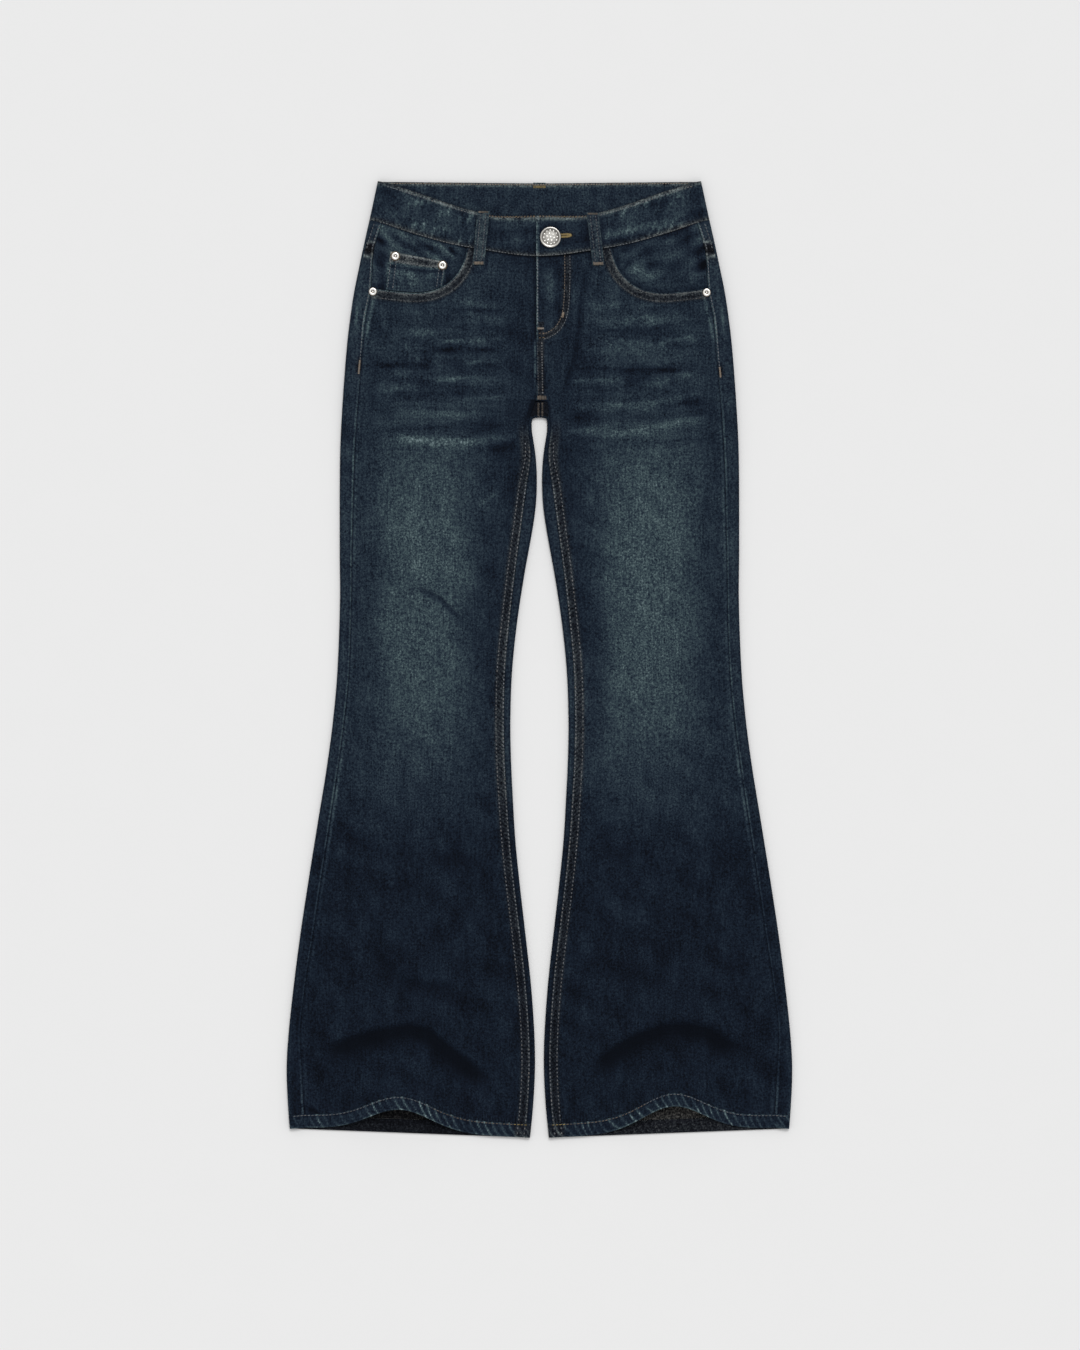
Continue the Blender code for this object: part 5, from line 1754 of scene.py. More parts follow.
@dataclass
class PocketFacing:
    """The cloth that shows in a front pocket's opening."""

    half: Half
    start_x: float = 72.0
    end_drop: float = 95.2
    underlap: float = 9.0
    deep_underlap: float = 23.0
    sink: float = 1.6
    swell: float = 1.0

    def height(self, x: Array, drop: Array) -> Array:
        """Height of the facing's outer face: under the front's edge, and swelling a little in the opening."""
        signed, _ = POCKET_LINE.measure(x, drop)
        covered = (x < POCKET_START) | (drop > POCKET_EDGE.read(x))
        swell = np.where(covered, 0.0, self.swell * smooth_step(2.0, 12.0, np.abs(signed)))
        folds = 0.35 * unevenness(x * 0.5, drop + 0.5 * x, 26, 31) * smooth_step(3, 12, np.abs(signed))
        return LAY.top_height(self.half.value * x, drop) - self.sink + swell + np.where(covered, 0, folds)

    def lower_edge(self, x: Array) -> Array:
        """Drop of the hidden lower edge."""
        share = (x - self.start_x) / (POCKET_START - self.start_x)
        corner = mix(self.end_drop, 76.0 + self.deep_underlap, share)
        narrow = smooth_step(POCKET_START, 110.0, x)
        deep = POCKET_EDGE.read(x) + mix(self.deep_underlap, self.underlap, narrow)
        return np.where(x < POCKET_START, corner, deep)

    def place(self, column: Array, row: Array, depth: Array) -> tuple[Array, Facts]:
        """Where each vertex of the slab goes, and what the finish reads there."""
        across, down = (column / 56) ** 1.25, 1 - row / 34
        x = mix(self.start_x, 177.3, across)
        drop = mix(BAND_BOTTOM_EDGE.read(x) + GAP, self.lower_edge(x), down)
        x = mix(self.start_x, LAY.side_seam_x(drop) - GAP, across)
        drop = mix(BAND_BOTTOM_EDGE.read(x) + GAP, self.lower_edge(x), down)
        height = self.height(x, drop) - depth * DENIM
        signed = self.half.value * x
        inside = np.abs(POCKET_LINE.measure(x, drop)[0])
        to_band = drop - BAND_BOTTOM_EDGE.read(x)
        bright = {Half.LEFT: 0.1, Half.RIGHT: -0.04}[self.half] * smooth_step(4, 22, inside)
        streak = 0.13 * unevenness(x * 0.5, drop * 1.4 + x * 0.6, 17, 33 + self.half.value)
        # Painted shade along the pocket opening, under the front's cut edge, and painted shadow beside the belt loops.
        shade = 0.4 * (1 - smooth_step(0.5, 8, inside)) + 0.4 * beside_loop(signed, drop)
        # Painted shadow under the waistband.
        shade = shade + 0.55 * (1 - smooth_step(0.8, 3.2, to_band)) + 0.06 * peak(to_band / 9)
        if self.half is Half.LEFT:
            # Painted shadow beside the coin pocket's sides.
            for line, reach in COIN_SIDES:
                shade = shade + 0.5 * peak(line.measure(x, drop)[0] / reach)
            rim = 0.3 * peak(FACING_FOLD.measure(x, drop)[0] / 1.2)
        else:
            rim = 0 * x
        points = world(np.stack([x, drop, height], axis=-1), self.half)
        return points, {
            "wear": FADING.wear(signed, drop) + bright + streak * smooth_step(4, 15, inside),
            "rim": rim,
            "shade": np.clip(shade, 0, 0.8),
            "along": x,
            "across": drop,
        }

    def build(self) -> None:
        """Builds and dresses the facing."""
        piece = bend_slab(f"denim_pocket_facing_{self.half.word}", 56, 34, self.place)
        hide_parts(f"pocket_facing_{self.half.word}")


@dataclass
class CoinPocket:
    """The small pocket on the left facing. Its lower end follows the edge of the pocket opening."""

    facing: PocketFacing
    top: tuple[tuple[float, float], ...] = ((167.9, 80.2), (105.4, 91.9))
    bottom_x: tuple[float, float] = (173.3, 109.6)
    wall: float = 1.0
    hem: float = 8.5

    def height(self, x: Array, drop: Array) -> Array:
        """Height of the pocket's outer face."""
        return self.facing.height(x, drop) + 1.5 * GAP + self.wall

    def flat(self, across: Array, down: Array) -> Array:
        """Places on the pocket, by the share of its width and of its depth."""
        low_x = mix(*self.bottom_x, across)
        low = places(low_x, POCKET_EDGE.read(low_x) - 2 * GAP)
        return between(between(np.array(self.top[0]), np.array(self.top[1]), across), low, down)

    def place(self, column: Array, row: Array, depth: Array) -> tuple[Array, Facts]:
        """Where each vertex of the slab goes, and what the finish reads there."""
        across, down = column / 50, 1 - split([0, 0.6, 1], [18, 22])[row]
        flat = self.flat(across, down)
        x, drop = flat.T
        from_top = down * 33.0
        from_side = np.minimum(across, 1 - across) * 63.0
        band = 1 - smooth_step(self.hem - 0.8, self.hem + 0.8, from_top)
        edge = np.minimum(from_top, from_side)
        height = self.height(x, drop) + 0.35 * band * (1 - depth) - depth * self.wall
        height = height - softened(edge, depth, 0.35, 1.4)
        side_band = smooth_step(0.8, 1.6, from_side) * (1 - smooth_step(7.0, 8.2, from_side))
        rim = 0.6 * peak((from_top - 0.6) / 1.4) + 0.5 * peak((from_side - 0.4) / 1.0) + 0.35 * peak((from_top - 8) / 2.2)
        shade = 0.2 * side_band + 0.5 * peak((from_top - 12.6) / 1.6)
        return world(np.stack([x, drop, height], axis=-1), Half.LEFT), {
            "wear": FADING.wear(-x, drop) + 0.05 + 0.04 * unevenness(x, drop, 22, 41),
            "rim": np.clip(rim, 0, 1),
            "shade": np.clip(shade, 0, 0.7),
            "drab": 0.5 * band,
            "pucker": 0.3 * band,
            "along": x,
            "across": from_top,
        }

    def surface(self, x: Array, drop: Array) -> Array:
        """Points of the pocket's outer face."""
        return world(np.stack([x, drop, self.height(x, drop) + 0.25], axis=-1), Half.LEFT)

    def build(self) -> None:
        """Builds and dresses the pocket."""
        piece = bend_slab("denim_coin_pocket", 50, 40, self.place)
        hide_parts("coin_pocket")
        needle = Needle("thread_coin_pocket", self.surface)
        across = np.linspace(0.03, 0.97, 20)
        for down in (1.6 / 33, 7.2 / 33):
            needle.sew(self.flat(across, np.full(20, down)), thread=Thread.GREY, pitch=3.4, length=2.6, age=0.25)
        down = np.linspace(0.06, 0.95, 12)
        for share in (1.6 / 63, 7.4 / 63, 1 - 1.6 / 63, 1 - 6.6 / 63):
            needle.sew(self.flat(np.full(12, share), down), thread=Thread.GREY, pitch=3.4, length=2.6, age=0.25)
        for x, drop in ((162.6, 85.3), (109.4, 95.6)):
            turn = np.linspace(0, math.tau, 30)
            ring = places(x + 5.2 * np.cos(turn), drop + 5.2 * np.sin(turn))
            needle.sew(ring, thread=Thread.BROWN, pitch=2.6, length=2.3, age=0.5)
        needle.build()


@dataclass
class BackPocket:
    """A patch pocket under the seat, flat on the surface."""

    half: Half
    outline: tuple[tuple[float, float], ...] = ((57, 120), (168, 112), (165, 226), (114, 246), (62, 230))
    low: float = 0.3
    wall: float = 0.9

    def corner_rows(self) -> tuple[Array, Array]:
        """The upper edge's ends, and the lower edge's three places."""
        corners = np.array(self.outline, float)
        return corners[[0, 1]], corners[[4, 3, 2]]

    def flat(self, across: Array, down: Array) -> Array:
        """Places on the pocket, by the share of its width and of its depth."""
        upper, lower = self.corner_rows()
        stations = np.array([0, 0.52, 1.0])
        low = places(*(np.interp(across, stations, lower[:, i]) for i in (0, 1)))
        return between(between(upper[0], upper[1], across), low, down)

    def place(self, column: Array, row: Array, depth: Array) -> tuple[Array, Facts]:
        """Where each vertex of the slab goes, and what the finish reads there."""
        across, down = column / 50, 1 - row / 52
        flat = self.flat(across, down)
        edge = np.minimum(np.minimum(across, 1 - across) * 108, np.minimum(down, 1 - down) * 118)
        height = self.low + depth * self.wall + softened(edge, depth, 0.25, 1.5)
        wear = FADING.tone(43) + 0.05 * unevenness(flat[:, 0], flat[:, 1], 40, 51)
        return world(np.concatenate([flat, height[:, None]], axis=-1), self.half), {
            "wear": wear,
            "rim": 0.4 * peak(edge / 0.9),
            "shade": 0.3 * smooth_step(0.8, 1.8, edge) * (1 - smooth_step(7, 8.4, edge)),
            "pucker": 0.5 * peak(edge / 8),
            "along": flat[:, 0] + flat[:, 1],
            "across": edge,
        }

    def surface(self, x: Array, drop: Array) -> Array:
        """Points of the pocket's outer face."""
        return world(np.stack([x, drop, np.full(np.shape(x), self.low)], axis=-1), self.half)

    def build(self) -> None:
        """Builds and dresses the pocket."""
        piece = bend_slab(f"denim_back_pocket_{self.half.word}", 50, 52, self.place)
        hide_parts(f"back_pocket_{self.half.word}")
        needle = Needle(f"thread_back_pocket_{self.half.word}", self.surface, Layer.LOWER)
        for inset in (2.0, 7.6):
            low, high = inset / 108, 1 - inset / 108
            down = 1 - inset / 118
            ring = [(low, 0.012), (low, down), (0.52, down), (high, down), (high, 0.012)]
            shares = np.array(ring)
            needle.sew(self.flat(shares[:, 0], shares[:, 1]), thread=Thread.TAN)
        for inset in (2.0, 11.0):
            across = np.linspace(0.03, 0.97, 10)
            needle.sew(self.flat(across, np.full(10, inset / 118)), thread=Thread.TAN)
        needle.build()


@dataclass
class Waistband:
    """One band from the buttonhole end, round the back, to the end that lies underneath at the button."""

    wall: float = 2.2
    height: float = 7.2
    overlap_lift: float = 2.6
    overlap_slope: tuple[float, float] = (34.0, 74.0)
    underlap: float = 28.0
    fold_top: tuple[float, float] = (182.4, 0.5)
    fold_bottom: tuple[float, float] = (191.8, 44.2)
    fold_radius: float = 3.4
    straight_from: float = 13.6
    depth_mm: float = 43.0
    row_shares: tuple[float, ...] = (0, 0.015, 0.035, 0.07, 0.13, 0.87, 0.93, 0.965, 0.985, 1)

    def __post_init__(self) -> None:
        """Works out the stations round the band, as (kind, at, sign of x)."""
        front = {True: split([CENTRE_FRONT, CENTRE_FRONT + 1, 8, 150], [1, 3, 58]), False: np.linspace(2.8, 150, 62)}
        under_end = -self.underlap
        arc = np.linspace(90, -90, 11)
        strip = np.linspace(0, 1, 6)[:-1]
        back = np.linspace(1, 0, 60)[1:]
        runs = [("front", front[True], 1), ("strip", strip, 1), ("fold", arc, 1), ("back", back, 1)]
        runs += [("back", back[-2::-1], -1), ("fold", arc[::-1], -1), ("strip", strip[::-1], -1)]
        runs += [("front", np.concatenate([front[False][::-1], [-10.0, under_end]]), -1)]
        self.kinds = np.concatenate([[kind] * len(at) for kind, at, _ in runs])
        self.at = np.concatenate([at for _, at, _ in runs])
        self.side = np.concatenate([[sign] * len(at) for _, at, sign in runs])
        self.shares = split(self.row_shares, [1, 1, 1, 2, 12, 2, 1, 1, 1])

    def front_height(self, x: Array, over: Any) -> Array:
        """Height of the front band's outer face. over is for the end that laps on top at the button."""
        lap = self.overlap_lift * (1 - smooth_step(*self.overlap_slope, x))
        return self.height + np.where(over, lap, 0.0)

    def front(self, x: Array, share: Array) -> Array:
        """Places on the front band, share 0 on its upper edge and 1 on its lower."""
        spread = self.fold_bottom[0] / self.fold_top[0]
        upper = places(x, BAND_TOP_EDGE.read(np.abs(x)))
        return between(upper, places(x * spread, BAND_BOTTOM_EDGE.read(np.abs(x * spread))), share)

    def fold(self, share: Array) -> tuple[Array, Array]:
        """Places on the band's side fold, and the way in."""
        foot = between(np.array(self.fold_top), np.array(self.fold_bottom), share)
        lean = np.array(self.fold_bottom) - np.array(self.fold_top)
        inward = np.array([-lean[1], lean[0]]) / np.hypot(*lean)
        return foot, np.broadcast_to(inward, foot.shape)

    def back(self, x: Array, share: Array) -> Array:
        """Places on the back band, x from 0 in the middle to 1 at the fold."""
        foot, inward = self.fold(share)
        end = foot + inward * self.fold_radius
        return places(x * end[:, 0], mix(mix(3.0, 46.3, share), end[:, 1], x))

    def place(self, column: Array, row: Array, depth: Array) -> tuple[Array, Facts]:
        """Where each vertex of the slab goes, and what the finish reads there."""
        kind, at, side = self.kinds[column], self.at[column], self.side[column]
        share = self.shares[row]
        front_flat = self.front(at, share)
        front_z = self.front_height(at, side > 0)
        foot, inward = self.fold(share)
        strip_inner = foot + inward * self.straight_from
        half_way = between(self.front(np.full(len(at), 150.0), share), strip_inner, np.full(len(at), 0.5))
        strip = between(strip_inner, foot + inward * self.fold_radius, at)
        strip_flat = np.where((at < 0.01)[:, None], half_way, strip)
        back_flat = self.back(at, share)
        back_z = LAY.underside(*back_flat.T)
        angle = np.where(kind == "fold", at, 0.0)
        fold = LAY.round_fold(foot, inward, angle, depth * self.wall, np.full(len(at), self.height), self.fold_radius)
        flats = {"front": front_flat, "strip": strip_flat, "back": back_flat}
        tops = {
            "front": front_z - depth * self.wall,
            "strip": self.height - depth * self.wall,
            "back": back_z + depth * self.wall,
        }
        points = fold
        for name, flat in flats.items():
            there = np.concatenate([flat, np.broadcast_to(tops[name], len(at))[:, None]], axis=-1)
            points = np.where((kind == name)[:, None], there, points)
        to_edge = np.minimum(share, 1 - share) * self.depth_mm
        end = np.where((kind == "front") & (side > 0), at - CENTRE_FRONT, FAR)
        rounding = softened(np.minimum(to_edge, end), np.zeros(len(at)), 0.7, 2.2)
        inner = softened(to_edge, np.zeros(len(at)), 0.6, 2.0)
        sign = np.where(kind == "back", -1.0, 1.0)
        points[:, 2] -= sign * np.where(depth < 0.5, rounding, -inner) * (kind != "fold")
        signed_x = side * points[:, 0]
        points_world = np.stack([signed_x, LENGTH / 2 - points[:, 1], points[:, 2]], axis=-1) * MM
        return points_world, self.facts(signed_x, points[:, 1], share, kind, depth, end)

    def facts(self, x: Array, drop: Array, share: Array, kind: Array, depth: Array, end: Array) -> Facts:
        """What the finish reads.

        Args:
            x: Signed x of each place.
            drop: Its drop.
            share: 0 on the band's upper edge, 1 on its lower.
            kind: Which stretch of the band.
            depth: 0 outside, 1 inside.
            end: Distance from the buttonhole end.

        Returns:
            The wear, light rims, shade and puckers.
        """
        up, low = share * self.depth_mm, (1 - share) * self.depth_mm
        middle = 1 - smooth_step(45, 75, np.abs(x))
        streak = unevenness(x * 1.5 + drop * 0.7, drop * 0.5 - x * 0.3, 13, 61)
        near_edge = peak((up - 9) / 7) + peak((low - 9) / 8)
        sides = smooth_step(62, 80, np.abs(x)) * (1 - smooth_step(150, 175, np.abs(x)))
        marble = np.clip(streak, 0, 2) * near_edge * sides
        wear = FADING.tone(37.5) + 0.34 * marble + 0.07 * unevenness(x, drop, 30, 62)
        wear = wear - 0.04 * bell(x / 60) + 0.05 * sides * peak((up - 24) / 20) + 0.07 * peak((up - 10) / 5) * middle
        wear = wear + (0.13 * peak((low - 13) / 4) - 0.12 * peak((low - 6) / 4)) * sides * (x > 0)
        inside = (kind == "back") & (depth > 0.5)
        wear = np.where(inside, FADING.tone(41) + 0.04 * unevenness(x, drop, 24, 63), wear)
        on_front = kind == "front"
        rim = mix(0.5, 0.52 + 0.2 * middle, on_front) * peak((up - 2.5) / (2.0 + 0.5 * middle))
        rim = rim + 0.33 * peak((low - 0.4) / 1.6)
        rim = rim + 1.0 * peak(end / 1.4)
        # Painted shadow beside the front belt loops.
        shade = 0.45 * beside_loop(x, drop) * on_front
        from_hole = np.hypot(np.maximum(np.abs(x - 28) - 6.5, 0), (share - 0.51) * self.depth_mm)
        shade = shade + 0.6 * peak(from_hole / 3.2) * on_front
        return {
            "wear": wear,
            "rim": np.clip(rim, 0, 1),
            "shade": np.clip(shade, 0, 0.6),
            "drab": 0.7 * peak(from_hole / 3.2) * on_front + 0.5 * (peak(up / 3.5) + peak((low - 1) / 3)),
            "pucker": 0.45 * (peak((up - 3) / 5) + peak((low - 3) / 5)),
            "along": x,
            "across": np.minimum(up, low),
        }

    def front_surface(self, x: Array, share: Array) -> Array:
        """Points of the front band's outer face, by signed x and share."""
        flat = self.front(x, share)
        out = np.where(np.abs(x) > 158, self.height, self.front_height(np.abs(x), x > CENTRE_FRONT))
        return np.stack([flat[:, 0], LENGTH / 2 - flat[:, 1], out], axis=-1) * MM

    def inside_surface(self, x: Array, share: Array) -> Array:
        """Points of the back band's inner face, by signed x and share."""
        flat = self.back(np.abs(x) / 179.0, share)
        height = LAY.underside(*flat.T) + self.wall
        return np.stack([x, LENGTH / 2 - flat[:, 1], height], axis=-1) * MM

    def under_surface(self, x: Array, share: Array) -> Array:
        """Points of the back band's outer face, by signed x and share."""
        flat = self.back(np.abs(x) / 179.0, share)
        return np.stack([x, LENGTH / 2 - flat[:, 1], LAY.underside(*flat.T)], axis=-1) * MM

    def sew(self) -> list[Object]:
        """The band's stitches and buttonhole."""
        top = Needle("thread_waistband", self.front_surface)
        upper, lower = 1.0 / self.depth_mm, 1 - 0.5 / self.depth_mm
        x = np.linspace(-172, -CENTRE_FRONT - 8, 60)
        for run in (x, np.linspace(-1, 172, 60)):
            inset = 2.4 / self.depth_mm * smooth_step(52, 66, np.abs(run))
            for near, thread in ((np.abs(run) < 62, Thread.TAN), (np.abs(run) > 58, Thread.GREY)):
                row = places(run[near], (upper + inset)[near])
                top.sew(row, thread=thread, age=0.3, pitch=3.5, length=2.2, radius=0.5)
            top.sew(places(run, lower), thread=Thread.GREY, age=0.15, pitch=3.5, length=2.2, radius=0.5)
            brow = places(run[np.abs(run) < 66], 0.002)
            top.sew(brow, thread=Thread.BROWN, age=0.1, pitch=3.3, length=2.2, radius=0.5)
        hole = [(23, 0.54), (31, 0.54), (33.8, 0.53), (34.8, 0.51), (33.8, 0.49), (31, 0.48), (23, 0.48)]
        top.sew(hole, thread=Thread.STRAW, crosswise=True, pitch=0.8, length=2.6, age=0.4, radius=0.5)
        inside = Needle("thread_waistband_inside", self.inside_surface)
        x = np.linspace(-168, 168, 90)
        inside.sew(places(x, 1.6 / self.depth_mm), thread=Thread.TAN, age=0.55, pitch=3.0, length=2.2, radius=0.6)
        tack = {"crosswise": True, "pitch": 0.8, "length": 3.4, "thread": Thread.STRAW, "age": -0.1}
        inside.sew([(-7, 0.09), (7, 0.09)], **tack)
        under = Needle("thread_waistband_under", self.under_surface, Layer.LOWER)
        for share in (2.4 / self.depth_mm, 1 - 2.4 / self.depth_mm):
            under.sew(places(np.linspace(-176, 176, 90), share), thread=Thread.TAN)
        return [top.build(), inside.build(), under.build()]

    def build(self) -> None:
        """Builds and dresses the band."""
        piece = bend_slab("denim_waistband", len(self.at) - 1, len(self.shares) - 1, self.place)
        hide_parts("waistband")
        self.sew()


@dataclass
class BeltLoop:
    """A belt loop over the front waistband, tacked above and below and standing off it between."""

    name: str
    top: tuple[float, float]
    bottom: tuple[float, float]
    band: Waistband
    width: float = 13.4
    wall: float = 1.3
    arch: float = 0.9
    clear: float = 0.45

    def height(self, x: Array, drop: Array, share: Array) -> Array:
        """Height of the loop's inner face at signed x."""
        band = self.band.front_height(np.abs(x), x > 0)
        panel = np.maximum(LAY.top_height(x, drop), LAY.hip_height)
        edge = BAND_BOTTOM_EDGE.read(np.abs(x))
        base = mix(band, panel, smooth_step(edge + 1, edge + 10, drop)) + self.clear
        return base + self.arch * smooth_step(0, 0.12, share) * smooth_step(0, 0.12, 1 - share)

    def flat(self, across: Array, share: Array) -> Array:
        """Places on the loop at signed x, by the share of its width and of its length."""
        middle = between(np.array(self.top), np.array(self.bottom), share)
        return middle + places((across - 0.5) * self.width, 0)

    def surface(self, across: Array, share: Array) -> Array:
        """Points of the loop's outer face."""
        x, drop = self.flat(across, share).T
        z = self.height(x, drop, share) + self.wall
        return np.stack([x, LENGTH / 2 - drop, z], axis=-1) * MM

    def place(self, column: Array, row: Array, depth: Array) -> tuple[Array, Facts]:
        """Where each vertex of the slab goes, and what the finish reads there."""
        across, share = column / 16, row / 40
        points = self.surface(across, share)
        edge = np.minimum(across, 1 - across) * self.width
        end = np.minimum(share, 1 - share) * 60
        crown = 0.25 * np.sin(np.pi * across) + 0.15 * peak((edge - 3.5) / 1.2)
        ribs = 0.06 * np.sin(row * 2.4) * (1 - depth)
        points[:, 2] += (crown * (1 - depth) - depth * self.wall + ribs) * MM
        points[:, 2] -= softened(np.minimum(edge, end), depth, 0.5, 1.8) * MM
        x, drop = self.flat(across, share).T
        return points, {
            "wear": FADING.tone(56 if self.top[0] < 0 else 50) + 0.06 * unevenness(x, drop, 9, 71),
            "rim": 0.1 * peak((edge - 0.4) / 0.8) + 0.2 * peak(end / 1.5),
            "shade": 0.12 * peak((edge - 3.4) / 1.2),
            "drab": 0.12,
            "along": drop,
            "across": x,
        }

    def build(self) -> None:
        """Builds and dresses the loop."""
        piece = bend_slab(f"denim_{self.name}", 16, 40, self.place)
        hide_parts(self.name)
        needle = Needle(f"thread_{self.name}", self.surface, sunk=-0.12)
        for across in (0.27, 0.73):
            needle.sew([(across, 0.05), (across, 0.93)], thread=Thread.GREY, pitch=3.3, length=2.4, age=0.0)
        for share, age, length in ((0.965, 0.05, 4.2), (0.02, -0.3, 2.4)):
            tack = {"crosswise": True, "pitch": 0.85, "length": length, "radius": 0.5, "thread": Thread.TAN}
            needle.sew([(0.08, share), (0.92, share)], age=age, **tack)
        needle.build()


@dataclass
class BackLoop:
    """A belt loop pressed flat under the back waistband."""

    name: str
    x: float
    width: float = 14.0
    drops: tuple[float, float] = (2.0, 56.0)
    low: float = 0.3
    wall: float = 0.9

    def place(self, column: Array, row: Array, depth: Array) -> tuple[Array, Facts]:
        """Where each vertex of the slab goes, and what the finish reads there."""
        across, share = column / 12, row / 30
        x, drop = self.x + (across - 0.5) * self.width, mix(*self.drops, share)
        edge = np.minimum(np.minimum(across, 1 - across) * self.width, np.minimum(share, 1 - share) * 54)
        height = self.low + depth * self.wall + softened(edge, depth, 0.25, 1.6)
        points = np.stack([x, LENGTH / 2 - drop, height], axis=-1) * MM
        return points, {
            "wear": FADING.tone(52) + 0.03 * unevenness(x, drop, 10, 72),
            "rim": 0.4 * peak(edge / 0.8),
            "pucker": 1.0,
            "along": drop,
            "across": x,
        }

    def surface(self, across: Array, drop: Array) -> Array:
        """Points of the loop's outer face."""
        x = self.x + (across - 0.5) * self.width
        return np.stack([x, LENGTH / 2 - drop, np.full(np.shape(x), self.low)], axis=-1) * MM

    def build(self) -> None:
        """Builds and dresses the loop."""
        piece = bend_slab(f"denim_{self.name}", 12, 30, self.place)
        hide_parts(self.name)
        needle = Needle(f"thread_{self.name}", self.surface, Layer.LOWER)
        for across in (0.27, 0.73):
            needle.sew([(across, 6.0), (across, 52.0)], thread=Thread.TAN, pitch=3.2, length=2.5)
        for drop in (3.8, 54.0):
            tack = {"crosswise": True, "pitch": 0.85, "length": 2.6, "thread": Thread.BROWN, "age": 0.8}
            needle.sew([(0.08, drop), (0.92, drop)], **tack)
        needle.build()


